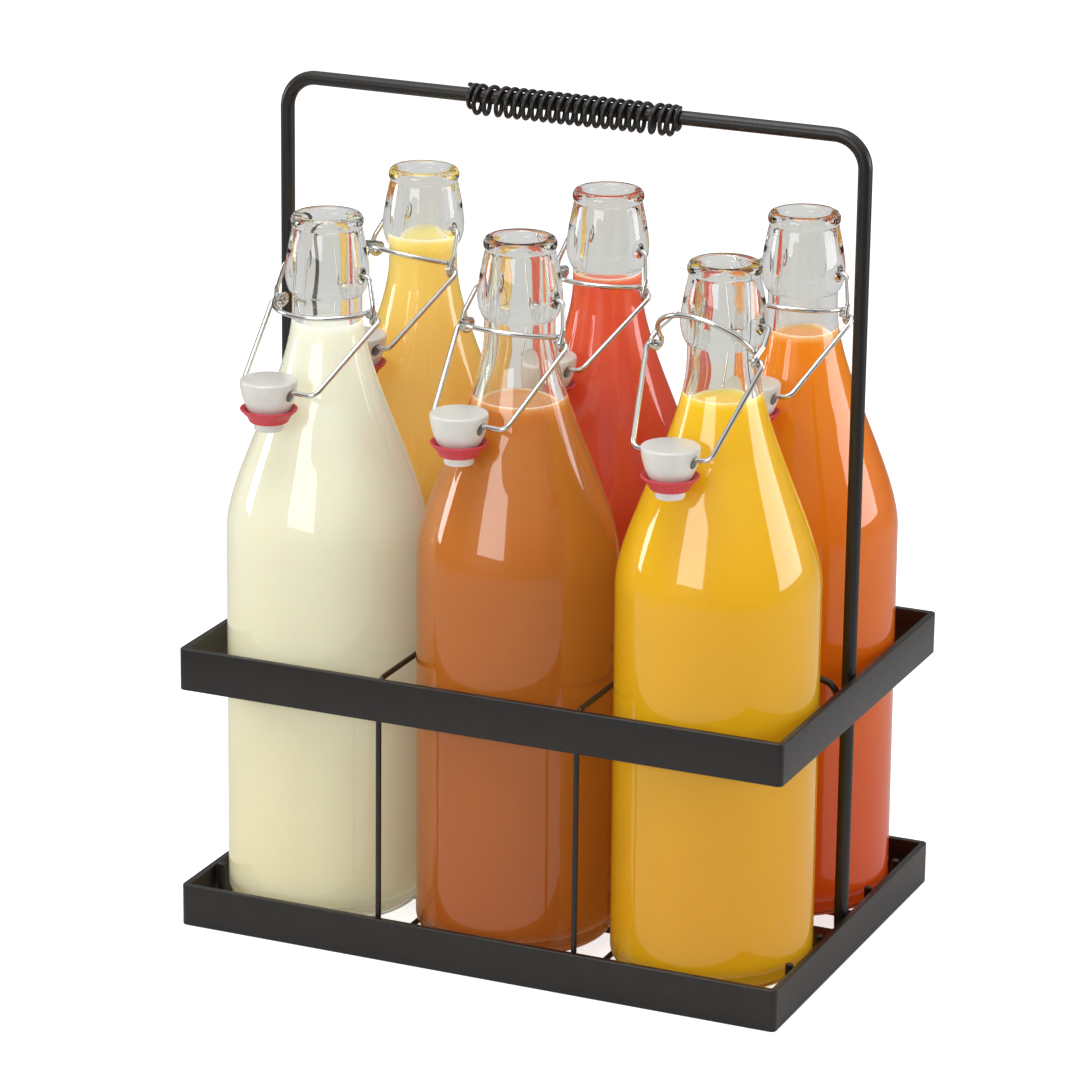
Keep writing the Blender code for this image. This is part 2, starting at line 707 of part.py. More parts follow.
main()
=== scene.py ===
"""Drinks caddy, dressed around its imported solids.

The carrier is coated steel bar and wire. It holds six clear swing-top bottles, each
with its own drink, and stands on a pale studio floor. Lengths are in metres, +Z is
up, and the front faces -Y. Each shape is worked out as whole arrays: a profile or a
wire's section carried along a path.
"""

import json
import math

import bmesh
import bpy
import numpy as np
from mathutils import Matrix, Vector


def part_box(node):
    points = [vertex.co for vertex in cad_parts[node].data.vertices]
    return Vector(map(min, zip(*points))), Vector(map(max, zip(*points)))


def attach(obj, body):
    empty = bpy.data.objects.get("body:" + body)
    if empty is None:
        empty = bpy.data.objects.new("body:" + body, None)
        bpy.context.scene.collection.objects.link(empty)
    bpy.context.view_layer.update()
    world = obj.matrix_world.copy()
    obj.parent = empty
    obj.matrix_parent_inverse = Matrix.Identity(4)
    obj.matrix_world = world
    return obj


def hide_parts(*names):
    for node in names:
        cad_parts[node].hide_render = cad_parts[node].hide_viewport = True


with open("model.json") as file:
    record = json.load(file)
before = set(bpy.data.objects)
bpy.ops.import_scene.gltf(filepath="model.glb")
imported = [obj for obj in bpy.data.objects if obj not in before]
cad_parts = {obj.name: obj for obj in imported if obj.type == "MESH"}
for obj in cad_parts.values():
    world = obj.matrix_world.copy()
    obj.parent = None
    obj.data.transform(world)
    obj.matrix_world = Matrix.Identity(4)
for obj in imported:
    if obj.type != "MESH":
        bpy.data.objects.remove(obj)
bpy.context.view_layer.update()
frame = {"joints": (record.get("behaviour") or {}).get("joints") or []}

bl_info = {
    "name": "Drinks Caddy",
    "version": (1, 0, 0),
    "blender": (4, 5, 0),
    "location": "3D View > Sidebar > Caddy",
    "description": "Dresses a bottle caddy and its six swing-top bottles",
    "category": "Add Mesh",
}

JOINTS = {joint["name"]: joint for joint in frame["joints"]}
SEAT_GAP = 0.0003
WIRE_GAP = 0.0004
BEND_STEPS = 12
PATH_STEP = 0.01


def linear(*shown):
    """Scene-linear values of a colour given as it shows on a screen, 0 to 255."""
    part = np.array(shown) / 255
    curve = ((part + 0.055) / 1.055) ** 2.4
    return tuple(float(v) for v in np.where(part <= 0.04045, part / 12.92, curve))


def length(name, description, default, top=0.5):
    """A size in metres that a user may change."""
    return bpy.props.FloatProperty(
        name=name, description=description, default=default, min=0.0, max=top,
        precision=5, subtype="DISTANCE", unit="LENGTH",
    )


def color(name, description, default):
    """A colour that a user may change."""
    return bpy.props.FloatVectorProperty(
        name=name, description=description, default=default, size=3, min=0.0, max=1.0,
        subtype="COLOR",
    )


def share(name, description, default):
    """A plain number from 0 to 1 that a user may change."""
    return bpy.props.FloatProperty(
        name=name, description=description, default=default, min=0.0, max=1.0, subtype="FACTOR"
    )


class CarrierSettings(bpy.types.PropertyGroup):
    """Sizes and finish of the steel carrier."""

    bar_thickness: length("Bar thickness", "Thickness of the flat bars", 0.003)
    bar_corner: length("Bar corner", "Outer corner radius of the two bands", 0.0025)
    bar_edge: length("Bar edge", "Rounding along the flat bars' edges", 0.0005)
    handle_rod: length("Handle rod", "Diameter of the handle", 0.0062)
    handle_bend: length("Handle bend", "Bend radius of the handle", 0.014)
    divider_wire: length("Divider wire", "Diameter of the cross dividers", 0.0025)
    divider_bend: length("Divider bend", "Bend radius of the cross dividers", 0.006)
    row_wire: length("Row wire", "Diameter of the wire between the rows", 0.003)
    row_bend: length("Row bend", "Bend radius of the wire between the rows", 0.008)
    floor_wire: length("Floor wire", "Diameter of the wires under the bottles", 0.0037)
    floor_bend: length("Floor bend", "Bend radius of the wires under the bottles", 0.005)
    grip_wire: length("Grip wire", "Diameter of the grip coil's wire", 0.0020)
    grip_turn: length("Grip turn", "Diameter of the grip coil at its wire's middle", 0.0120)
    coating: color("Coating", "Colour of the powder coat", (0.0110, 0.0088, 0.0072))
    coating_roughness: share("Coating roughness", "How dull the powder coat is", 0.36)


class BottleSettings(bpy.types.PropertyGroup):
    """Sizes of the glass, heights from the bottle's base."""

    radius: length("Body radius", "Outside radius of the body", 0.044)
    height: length("Height", "Height of the glass", 0.3121)
    body_height: length("Body height", "Where the shoulder starts", 0.1709)
    shoulder_reach: length("Shoulder reach", "How far the body runs on into the shoulder", 0.0241)
    heel_radius: length("Heel radius", "Rounding round the foot", 0.007)
    neck_radius: length("Neck radius", "Outside radius of the neck", 0.01525)
    neck_height: length("Neck height", "Where the shoulder ends", 0.2702)
    neck_reach: length("Neck reach", "How far the neck runs down into the shoulder", 0.0298)
    bell_radius: length("Bell radius", "Widest radius of the bell", 0.0183)
    bell_bottom: length("Bell bottom", "Height of the bell's lower edge", 0.2772)
    bell_widest: length("Bell widest", "Height at which the bell is widest", 0.2866)
    bell_top_radius: length("Bell top radius", "Radius of the bell under the lip", 0.0152)
    lip_radius: length("Lip radius", "Outside radius of the lip", 0.0158)
    lip_round: length("Lip round", "How far the lip's rounding reaches inwards", 0.0024)
    lip_height: length("Lip height", "Height of the lip", 0.0062)
    mouth_radius: length("Mouth radius", "Radius of the mouth", 0.0101)
    wall: length("Wall", "Thickness of the body's wall", 0.0027)
    floor: length("Floor", "Thickness of the glass under the drink", 0.0065)
    pivot_height: length("Pivot height", "Height of the dimples that hold the lever", 0.2872)
    glass: color("Glass", "Tint of the glass", (0.955, 0.957, 0.930))


class ClosureSettings(bpy.types.PropertyGroup):
    """Sizes and finishes of the swing-top closure."""

    wire: length("Wire", "Diameter of the closure's wires", 0.0022)
    lever_arm: length("Lever arm", "From the lever's pivot to its eyes", 0.0175)
    lever_shoulder: length("Lever shoulder", "How far an arm stands off the bell", 0.0042)
    lever_bend: length("Lever bend", "Bend radius of the lever's arms", 0.0030)
    lever_knee: share("Lever knee", "Share of an arm that is above its knee", 0.68)
    dimple_depth: length("Dimple depth", "How far the lever's ends reach into the bell", 0.0018)
    eye_spacing: length("Eye spacing", "Distance between the two eyes", 0.0492)
    hoop_reach: length("Hoop reach", "How far the hoop stands before the eyes", 0.0220)
    hoop_angle: bpy.props.FloatProperty(
        name="Hoop angle", description="From the arms' line forwards to the hoop",
        default=math.radians(86.0), subtype="ANGLE",
    )
    bail_length: length("Bail length", "From the eyes to the bail's foot", 0.0460)
    bail_foot: length("Bail foot", "Width of the bail's foot", 0.0380)
    bail_bend: length("Bail bend", "Bend radius at the bail's foot", 0.0042)
    foot_shift: length("Foot shift", "How far two of the feet are off the middle", 0.0015)
    stub: length("Stub", "How far the bail's ends stand out of the eyes", 0.0010)
    head_radius: length("Head radius", "Radius of the stopper's head", 0.0125)
    head_top: length("Head top", "Height of the head above its cross hole", 0.0060)
    head_edge: length("Head edge", "Rounding of the head's upper edge", 0.0011)
    head_dome: length("Head dome", "How far the head's top rises to its middle", 0.0004)
    head_foot: length("Head foot", "Depth of the head below its cross hole", 0.0083)
    head_foot_radius: length("Head foot radius", "Radius of the head where the seal sits", 0.0089)
    hole_radius: length("Hole radius", "Radius of the cross hole", 0.0030)
    stem_radius: length("Stem radius", "Radius of the stem", 0.00645)
    stem_end: length("Stem end", "Depth of the stem's end below the cross hole", 0.0170)
    seal_radius: length("Seal radius", "Radius of the rubber seal", 0.01255)
    seal_rim: length("Seal rim", "Depth of the seal's rim below the cross hole", 0.0070)
    seal_rim_thickness: length("Seal rim thickness", "Thickness of the seal's rim", 0.0011)
    seal_foot: length("Seal foot", "Depth of the seal's foot below the cross hole", 0.0133)
    seal_foot_radius: length("Seal foot radius", "Radius of the seal's foot", 0.0083)
    metal: color("Metal", "Colour of the zinc-coated wire", (0.68, 0.67, 0.64))
    metal_roughness: share("Metal roughness", "How dull the wire is", 0.17)
    head: color("Head", "Colour of the stopper", linear(222, 219, 212))
    seal: color("Seal", "Colour of the rubber seal", linear(205, 62, 74))


# Name, level from the bottle's base, paleness of the froth, colours above and below
DRINKS = (
    ("front_left", 0.263, 0.5, (228, 229, 214), (228, 220, 186)),
    ("front_middle", 0.240, 0.18, (194, 122, 44), (175, 93, 28)),
    ("front_right", 0.253, 0.18, (228, 186, 30), (218, 164, 20)),
    ("back_left", 0.281, 0.2, (234, 202, 108), (216, 134, 10)),
    ("back_middle", 0.273, 0.2, (215, 88, 54), (184, 6, 20)),
    ("back_right", 0.258, 0.3, (226, 138, 14), (202, 69, 12)),
)
BOTTLES = tuple(name for name, *_ in DRINKS)
SHIFTED_FEET = BOTTLES[:2]


class DrinkSettings(bpy.types.PropertyGroup):
    """Levels and colours of the six drinks."""

    # Painted glow: each drink gives off its own colour at this strength, which lightens its shaded
    # sides
    painted_glow: share("Glow", "Light that comes through a drink to its shaded sides", 0.21)


def drink_properties():
    """The four settings of each drink, by their names."""
    properties = {}
    for name, level, froth, upper, lower in DRINKS:
        label = name.replace("_", " ").capitalize()
        properties |= {
            f"{name}_level": length(f"{label} level", "Height of the drink", level),
            f"{name}_froth": share(f"{label} froth", "How pale the ring of bubbles is", froth),
            f"{name}_upper": color(f"{label} upper", "Drink near its surface", linear(*upper)),
            f"{name}_lower": color(f"{label} lower", "Drink near the floor", linear(*lower)),
        }
    return properties


DrinkSettings.__annotations__.update(drink_properties())


class StageSettings(bpy.types.PropertyGroup):
    """The camera, the floor and the light of the room."""

    lens: bpy.props.FloatProperty(
        name="Lens", description="Focal length", default=163.1, min=10.0, max=400.0, unit="CAMERA"
    )
    target: bpy.props.FloatVectorProperty(
        name="Target", description="What the camera looks at",
        default=(-0.00967, -0.00421, 0.1708), subtype="TRANSLATION",
    )
    distance: length("Distance", "From the camera to its target", 2.1526, top=20.0)
    azimuth: bpy.props.FloatProperty(
        name="Azimuth", description="Camera's turn to the right", default=math.radians(23.52),
        subtype="ANGLE",
    )
    elevation: bpy.props.FloatProperty(
        name="Elevation", description="Camera's height over the horizon",
        default=math.radians(17.85), subtype="ANGLE",
    )
    roll: bpy.props.FloatProperty(
        name="Roll", description="Camera's tilt", default=math.radians(0.709), subtype="ANGLE"
    )
    floor: color("Floor", "Colour of the studio floor", (0.82, 0.82, 0.82))
    room: share("Room", "Even light from all round", 0.37)
    backdrop: share("Backdrop", "Brightness of the surroundings through glass", 0.68)
    eye_level: share("Eye level", "Brightness of the room at eye level, in gloss", 0.10)
    floor_glow: share("Floor glow", "Light that the floor adds to itself in sight", 0.75)
    floor_near: length("Floor near", "Where the floor starts to dim, in gloss", 0.1, top=20.0)
    floor_far: length("Floor far", "Where it is as dim as the room, in gloss", 1.7, top=20.0)


# Mesh and path helpers


def unit(vectors):
    """The vectors at length 1, along the last axis."""
    return vectors / np.linalg.norm(vectors, axis=-1, keepdims=True)


def rounded(corners, radius, steps, closed=False):
    """Corner points joined by straight runs, each bend an arc of its radius.

    A bend's centre lies on the corner's bisector, and its points are the spherical
    mean of the arc's two ends about that centre.
    """
    corners = np.array(corners, float)
    count = len(corners)
    radii = np.broadcast_to(radius, count)
    share_along = np.linspace(0, 1, steps + 1)[:, None]
    path = []
    for index, corner in enumerate(corners):
        if not closed and index in (0, count - 1):
            path.append(corner[None])
            continue
        back = unit(corners[index - 1] - corner)
        ahead = unit(corners[(index + 1) % count] - corner)
        half = math.acos(np.clip(back @ ahead, -1, 1)) / 2
        centre = corner + unit(back + ahead) * radii[index] / math.sin(half)
        start = corner + back * radii[index] / math.tan(half) - centre
        end = corner + ahead * radii[index] / math.tan(half) - centre
        sweep = math.pi - 2 * half
        weights = np.sin((1 - share_along) * sweep), np.sin(share_along * sweep)
        path.append(centre + (weights[0] * start + weights[1] * end) / math.sin(sweep))
    return np.vstack(path)


def even(path, step, closed=False):
    """The path with more points on its straight runs, none further apart than step."""
    following = np.vstack([path[1:], path[:1]]) if closed else path[1:]
    starts = path if closed else path[:-1]
    counts = np.maximum(1, np.ceil(np.linalg.norm(following - starts, axis=1) / step)).astype(int)
    index = np.repeat(np.arange(len(counts)), counts)
    within = np.arange(counts.sum()) - np.repeat(np.cumsum(counts) - counts, counts)
    share_along = (within / counts[index])[:, None]
    points = starts[index] * (1 - share_along) + following[index] * share_along
    return points if closed else np.vstack([points, path[-1:]])


def arc(centre, radius, start, end, steps):
    """Points of an arc in a plane, from angle start to end in degrees."""
    angles = np.radians(np.linspace(start, end, steps + 1))
    return np.array(centre) + radius * np.column_stack([np.cos(angles), np.sin(angles)])


def upright_cubic(start, start_reach, end, end_reach, steps):
    """Points of a cubic that leaves and arrives straight up."""
    points = np.array([
        start,
        (start[0], start[1] + start_reach),
        (end[0], end[1] - end_reach),
        end,
    ])
    along = np.linspace(0, 1, steps + 1)[:, None]
    away = 1 - along
    weights = np.hstack([away**3, 3 * away**2 * along, 3 * away * along**2, along**3])
    return weights @ points


def transported(path, closed):
    """Two unit vectors across the path at each point, which don't twist along it.

    A fixed direction flattened onto the plane across the path gives a first pair.
    The turn between one pair, carried on to the next tangent, and the next pair is
    summed along the path and taken out.
    """
    ahead = np.roll(path, -1, axis=0) - path
    back = path - np.roll(path, 1, axis=0)
    if not closed:
        ahead[-1] = back[-1]
        back[0] = ahead[0]
    tangent = unit(unit(ahead) + unit(back))
    fixed = unit(np.array([0.31, 0.52, 0.79]))
    first = unit(fixed - (tangent @ fixed)[:, None] * tangent)
    second = np.cross(tangent, first)
    meet = 1 + (tangent[:-1] * tangent[1:]).sum(axis=1)
    lean = (tangent[1:] * first[:-1]).sum(axis=1) / meet
    carried = first[:-1] - lean[:, None] * (tangent[:-1] + tangent[1:])
    turn = np.arctan2((carried * second[1:]).sum(axis=1), (carried * first[1:]).sum(axis=1))
    phase = np.concatenate([[0.0], np.cumsum(turn)])[:, None]
    across = np.cos(phase) * first + np.sin(phase) * second
    return tangent, across, np.cross(tangent, across)


def tube(path, diameter, sides, closed=False, end_round=0.5):
    """A round wire's surface as a grid: one ring of points for each path point.

    An open wire's ends are a quarter ellipse of rings, end_round radii long.
    """
    tangent, across, over = transported(path, closed)
    radius = np.full(len(path), diameter / 2)
    if not closed:
        lift = np.radians([90, 72, 50, 25])[:, None]
        count = len(lift)
        reach = (np.sin(lift) - 1) * diameter / 2 * end_round
        path = np.vstack([
            path[0] - tangent[0] * reach, path[1:-1], path[-1] + (tangent[-1] * reach)[::-1]
        ])
        narrow = np.cos(lift[:, 0]) * diameter / 2
        radius = np.concatenate([narrow, radius[1:-1], narrow[::-1]])
        across, over = (
            np.vstack([side[:1].repeat(count, 0), side[1:-1], side[-1:].repeat(count, 0)])
            for side in (across, over)
        )
    angle = np.linspace(0, 2 * math.pi, sides, endpoint=False)[None, :, None]
    ring = np.cos(angle) * across[:, None] + np.sin(angle) * over[:, None]
    return path[:, None] + radius[:, None, None] * ring


def revolved(profile, segments, dense_sides=0.0):
    """A profile of (radius, height) points carried round Z, as a grid.

    dense_sides crowds the segments towards the X axis on both sides.
    """
    turn = np.linspace(0, 2 * math.pi, segments, endpoint=False)
    turn = turn - dense_sides / 2 * np.sin(2 * turn)
    radius, height = np.array(profile).T
    return np.stack([
        radius[:, None] * np.cos(turn), radius[:, None] * np.sin(turn),
        np.repeat(height[:, None], segments, axis=1),
    ], axis=-1)


def skin(name, grids, finishes, closed_rows=False, sharp=40.0):
    """One mesh from grids of points, each wrapped round its columns.

    Its UV map holds the distance along the rows, in metres, and the share round the
    columns. Points that meet, at poles and seams, are merged, and faces are turned
    outwards.
    """
    points, faces, mapped = [], [], []
    start = 0
    for grid in grids:
        rows, columns = grid.shape[:2]
        index = start + np.arange(rows * columns).reshape(rows, columns)
        lower = index if closed_rows else index[:-1]
        upper = np.roll(index, -1, axis=0) if closed_rows else index[1:]
        corners = [lower, np.roll(lower, -1, axis=1), np.roll(upper, -1, axis=1), upper]
        faces.append(np.stack(corners, axis=-1).reshape(-1, 4))
        middle = grid.mean(axis=1)
        steps = np.linalg.norm(np.roll(middle, -1, axis=0) - middle, axis=1)
        travel = np.concatenate([[0.0], np.cumsum(steps)])[: len(lower) + 1]
        turn = np.arange(columns) / columns
        corners = np.empty((len(lower), columns, 4, 2))
        corners[..., 0, 0] = corners[..., 1, 0] = travel[:-1, None]
        corners[..., 2, 0] = corners[..., 3, 0] = travel[1:, None]
        corners[..., 0, 1] = corners[..., 3, 1] = turn
        corners[..., 1, 1] = corners[..., 2, 1] = turn + 1 / columns
        mapped.append(corners.reshape(-1, 2))
        points.append(grid.reshape(-1, 3))
        start += rows * columns
    mesh = bpy.data.meshes.new(name)
    mesh.from_pydata(np.vstack(points), [], np.vstack(faces))
    layer = mesh.uv_layers.new(name="Along")
    layer.data.foreach_set("uv", np.vstack(mapped).ravel())
    return finished(name, mesh, finishes, sharp)


def finished(name, mesh, finishes, sharp=40.0):
    """The mesh with its doubles merged and faces outwards, as an object."""
    shape = bmesh.new()
    shape.from_mesh(mesh)
    bmesh.ops.remove_doubles(shape, verts=shape.verts, dist=1e-7)
    bmesh.ops.dissolve_degenerate(shape, edges=shape.edges, dist=1e-8)
    bmesh.ops.recalc_face_normals(shape, faces=shape.faces)
    shape.to_mesh(mesh)
    shape.free()
    mesh.materials.clear()
    for finish in finishes:
        mesh.materials.append(finish)
    mesh.shade_smooth()
    mesh.set_sharp_from_angle(angle=math.radians(sharp))
    item = bpy.data.objects.new(name, mesh)
    bpy.context.scene.collection.objects.link(item)
    return item


def dress(item, body, node):
    """The piece stands for its node, whose part is hidden, and rides on its body."""
    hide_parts(node)
    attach(item, body)
    return item


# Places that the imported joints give


def turned_about_x(points, angle):
    """Points turned about the X axis by the angle, in radians."""
    y, z = points[..., 1], points[..., 2]
    return np.stack([
        points[..., 0], y * math.cos(angle) - z * math.sin(angle),
        y * math.sin(angle) + z * math.cos(angle),
    ], axis=-1)


def bottle_places(name):
    """Where the bottle's closure is: its axes, three points and two angles.

    The pivot, the eyes and the bail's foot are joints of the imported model. A bottle
    is turned about its own axis and leans sideways only, so its axis is square to
    the eyes' axis in the plane of X and Z. The angles are the lever's and the bail's
    from the bottle's axis, downwards and towards the front.
    """
    pivot = np.array(JOINTS[f"{name}_lever_pivot"]["pos_m"])
    eye = np.array(JOINTS[f"{name}_bail_swing"]["pos_m"])
    foot = np.array(JOINTS[f"{name}_stopper_tilt"]["pos_m"])
    side = unit(np.array(JOINTS[f"{name}_bail_swing"]["axis"]))
    up = unit(np.array([-side[2], 0.0, side[0]]))
    front = np.cross(side, up)
    return {
        "axes": np.stack([side, -front, up]),
        "pivot": pivot,
        "eye": eye,
        "foot": foot,
        "lever": math.atan2((eye - pivot) @ front, (pivot - eye) @ up),
        "bail": math.atan2((foot - eye) @ front, (eye - foot) @ up),
    }


def stood(points, places, origin):
    """Points in the bottle's own axes, moved to stand at origin."""
    return points @ places["axes"] + origin


# Finishes


def fill(tree, node, inputs):
    """Gives the node's inputs their values, and links those that are sockets."""
    for key, value in inputs.items():
        if isinstance(value, bpy.types.NodeSocket):
            tree.links.new(value, node.inputs[key])
        else:
            node.inputs[key].default_value = value


def adder(tree):
    """A function that adds a node to the tree and returns one of its outputs."""

    def add(kind, inputs, output=0, **values):
        node = tree.nodes.new(kind)
        for key, value in values.items():
            setattr(node, key, value)
        fill(tree, node, inputs)
        return node.outputs[output]

    return add


def new_finish(name):
    """An empty node material and a function that adds nodes to it."""
    finish = bpy.data.materials.new(name)
    finish.use_nodes = True
    return finish, adder(finish.node_tree)


def shade(finish, inputs):
    """Sets and links inputs of the finish's Principled shader, and returns its output."""
    shader = finish.node_tree.nodes["Principled BSDF"]
    fill(finish.node_tree, shader, inputs)
    return shader.outputs["BSDF"]


def noise(add, place, scale, detail, roughness=0.5):
    """Noise from 0 to 1 at the place."""
    return add("ShaderNodeTexNoise", {
        "Vector": place, "Scale": scale, "Detail": detail, "Roughness": roughness,
    }, "Fac")


def spread(add, value, low, high, start=0.0, end=1.0):
    """The value from start to end, spread over low to high."""
    return add("ShaderNodeMapRange", {
        "Value": value, "From Min": start, "From Max": end, "To Min": low, "To Max": high,
    })


def relief(add, height, strength, distance):
    """The normal of a surface with this fine relief."""
    return add("ShaderNodeBump", {"Height": height, "Strength": strength, "Distance": distance})


def arithmetic(add, operation, first, second):
    """The two numbers added, multiplied or the like."""
    return add("ShaderNodeMath", {0: first, 1: second}, operation=operation)


def ramp(add, factor, stops):
    """A colour ramp over factor, with stops of (position, colour)."""
    color_out = add("ShaderNodeValToRGB", {"Fac": factor}, "Color")
    elements = color_out.node.color_ramp.elements
    while len(elements) < len(stops):
        elements.new(0.5)
    for element, (position, tint) in zip(elements, stops):
        element.position = position
        element.color = (*np.minimum(tint, 1), 1.0)
    return color_out


def coat_finish(settings):
    """Satin powder coat: fine orange peel, faint mottling and a soft sheen."""
    finish, add = new_finish("powder_coat")
    place = add("ShaderNodeTexCoord", {}, "Object")
    base = np.array(settings.coating)
    mottle = noise(add, place, 140.0, 3.0)
    grain = noise(add, place, 1500.0, 2.0)
    dull = settings.coating_roughness
    shade(finish, {
        "Base Color": ramp(add, mottle, [(0.30, base * 0.85), (0.70, base * 1.2)]),
        "Roughness": spread(add, grain, dull - 0.06, dull + 0.06),
        "Normal": relief(add, grain, 0.35, 0.00012),
    })
    return finish


def metal_finish(settings):
    """Bright zinc-coated wire with fine marks drawn out along its length."""
    finish, add = new_finish("zinc_coat")
    along = add("ShaderNodeUVMap", {}, uv_map="Along")
    drawn = add("ShaderNodeMapping", {"Vector": along, "Scale": (160.0, 26.0, 1.0)})
    marks = noise(add, drawn, 1.0, 4.0, 0.6)
    base = np.array(settings.metal)
    dull = settings.metal_roughness
    shade(finish, {
        "Base Color": ramp(add, marks, [(0.30, base * 0.88), (0.70, base * 1.06)]),
        "Roughness": spread(add, marks, dull - 0.06, dull + 0.10),
        "Metallic": 1.0,
        "Normal": relief(add, marks, 0.15, 0.0001),
    })
    return finish


def glass_finish(settings):
    """Clear moulded glass with a faint waviness, which lets the lamps' light through."""
    finish, add = new_finish("clear_bottle_glass")
    wave = noise(add, add("ShaderNodeTexCoord", {}, "Object"), 45.0, 1.0)
    tint = (*settings.glass, 1.0)
    glass = shade(finish, {
        "Base Color": tint, "Roughness": 0.0, "IOR": 1.5, "Transmission Weight": 1.0,
        "Normal": relief(add, wave, 0.25, 0.0006),
    })
    lamp = add("ShaderNodeLightPath", {}, "Is Shadow Ray")
    clear = add("ShaderNodeBsdfTransparent", {"Color": tint})
    both = add("ShaderNodeMixShader", {0: lamp, 1: glass, 2: clear})
    fill(finish.node_tree, finish.node_tree.nodes["Material Output"], {"Surface": both})
    return finish


def head_finish(settings):
    """Smooth warm white stopper with a soft gloss."""
    finish, add = new_finish("stopper_head")
    cloud = noise(add, add("ShaderNodeTexCoord", {}, "Object"), 260.0, 3.0)
    base = np.array(settings.head)
    shade(finish, {
        "Base Color": ramp(add, cloud, [(0.35, base * 0.965), (0.65, base * 1.02)]),
        "Roughness": 0.32, "Coat Weight": 0.3, "Coat Roughness": 0.12,
        "Normal": relief(add, cloud, 0.1, 0.0002),
    })
    return finish


def seal_finish(settings):
    """Matt rose red rubber with a dusty grain."""
    finish, add = new_finish("seal_rubber")
    grain = noise(add, add("ShaderNodeTexCoord", {}, "Object"), 900.0, 4.0)
    base = np.array(settings.seal)
    shade(finish, {
        "Base Color": ramp(add, grain, [(0.3, base * 0.86), (0.7, base * 1.12)]),
        "Roughness": 0.5, "Normal": relief(add, grain, 0.25, 0.0002),
    })
    return finish


def drink_finish(name, upper, lower, froth, low, high, painted_glow):
    """A cloudy drink: deeper in colour towards the floor, with slow clouds in it.

    A ring of small bubbles, paler by the share froth, stands at its surface. The
    share glow is a painted glow: the drink gives off its own colour at this strength,
    which lightens its shaded sides in place of light coming through it.
    """
    finish, add = new_finish(f"{name}_juice")
    place = add("ShaderNodeTexCoord", {}, "Object")
    height = add("ShaderNodeSeparateXYZ", {"Vector": place}, "Z")
    drift = arithmetic(add, "MULTIPLY", noise(add, place, 22.0, 3.0), 0.20)
    level = arithmetic(add, "ADD", spread(add, height, 0.0, 1.0, low, high), drift)
    upper, lower = np.array(upper), np.array(lower)
    tint = ramp(add, level, [(0.10, lower), (0.62, (upper + lower) / 2), (1.0, upper)])
    bubbles = add("ShaderNodeTexVoronoi", {"Vector": place, "Scale": 900.0}, "Distance")
    ring = spread(add, height, 0.0, froth, high - 0.0020, high + 0.0006)
    paler = arithmetic(add, "MULTIPLY", ring, spread(add, bubbles, 1.0, 0.5))
    pale = (*(0.35 * upper + 0.60), 1.0)
    mixed = add("ShaderNodeMix", {0: paler, 6: tint, 7: pale}, 2, data_type="RGBA")
    # Painted glow: the drink gives off its own tint through emission, which lightens its shaded
    # sides
    shade(finish, {
        "Base Color": mixed, "Roughness": 0.35, "Specular IOR Level": 0.15,
        "Emission Color": mixed, "Emission Strength": painted_glow, "Subsurface Weight": 1.0,
        "Subsurface Radius": (1.0, 0.7, 0.45), "Subsurface Scale": 0.030,
    })
    return finish


# The carrier


def carrier_places(settings):
    """Inner half sizes of the bands and the heights of what is inside them."""
    low, high = (np.array(corner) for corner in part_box("lower_band"))
    upper_low, upper_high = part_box("upper_band")
    floor_base = settings.divider_wire + 2 * SEAT_GAP
    return {
        "inner_x": high[0] - settings.bar_thickness,
        "inner_y": high[1] - settings.bar_thickness,
        "bar_height": high[2] - low[2],
        "bands": {"lower_band": low[2], "upper_band": upper_low[2]},
        "upper_top": upper_high[2],
        "floor_base": floor_base,
        "post_x": high[0] - settings.bar_thickness - SEAT_GAP - settings.handle_rod / 2,
    }


def rounded_section(width, height, radius, steps):
    """A rectangle with rounded corners, from its outer lower corner, as (in, up)."""
    corners = [(0, 0), (0, height), (width, height), (width, 0)]
    return rounded(corners, radius, steps, closed=True)


def band(name, settings, places, finish):
    """Flat bar on edge round the bottles: its section carried round a rectangle."""
    section = rounded_section(settings.bar_thickness, places["bar_height"], settings.bar_edge, 4)
    rows = []
    for inward, up in section:
        x = places["inner_x"] + settings.bar_thickness - inward
        y = places["inner_y"] + settings.bar_thickness - inward
        radius = max(settings.bar_corner - inward, 0.0008)
        corners = [(x, y, up), (-x, y, up), (-x, -y, up), (x, -y, up)]
        rows.append(rounded(corners, radius, 8, closed=True))
    grid = np.stack(rows) + np.array([0, 0, places["bands"][name]])
    return skin(f"{name}_bar", [grid], [finish], closed_rows=True)


def strip_grid(settings):
    """The floor strip: its section carried along X, drawn in at the bevelled ends."""
    low, high = (np.array(corner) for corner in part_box("floor_strip"))
    half = (high - low) / 2
    edge = settings.bar_edge
    section = rounded_section(2 * half[1], 2 * half[2], edge, 4) - half[1:]
    x = np.array([-half[0], -half[0], edge - half[0], half[0] - edge, half[0], half[0]])
    drawn_in = np.array([half[2], edge, 0, 0, edge, half[2]])[:, None, None]
    rows = np.clip(section, drawn_in - half[1:], half[1:] - drawn_in)
    rows[[0, -1]] = 0.0
    along = np.broadcast_to(x[:, None, None], (*rows.shape[:2], 1))
    return np.concatenate([along, rows], axis=-1) + (low + high) / 2


class CADDY_OT_bands(bpy.types.Operator):
    """Make the two flat-bar bands and the floor strip"""

    bl_idname = "caddy.bands"
    bl_label = "Bands and floor strip"

    def execute(self, context):
        settings = context.scene.caddy_carrier
        places = carrier_places(settings)
        finish = coat_finish(settings)
        for name in places["bands"]:
            dress(band(name, settings, places, finish), "carrier", name)
        strip = skin("floor_strip_bar", [strip_grid(settings)], [finish])
        dress(strip, "carrier", "floor_strip")
        return {"FINISHED"}


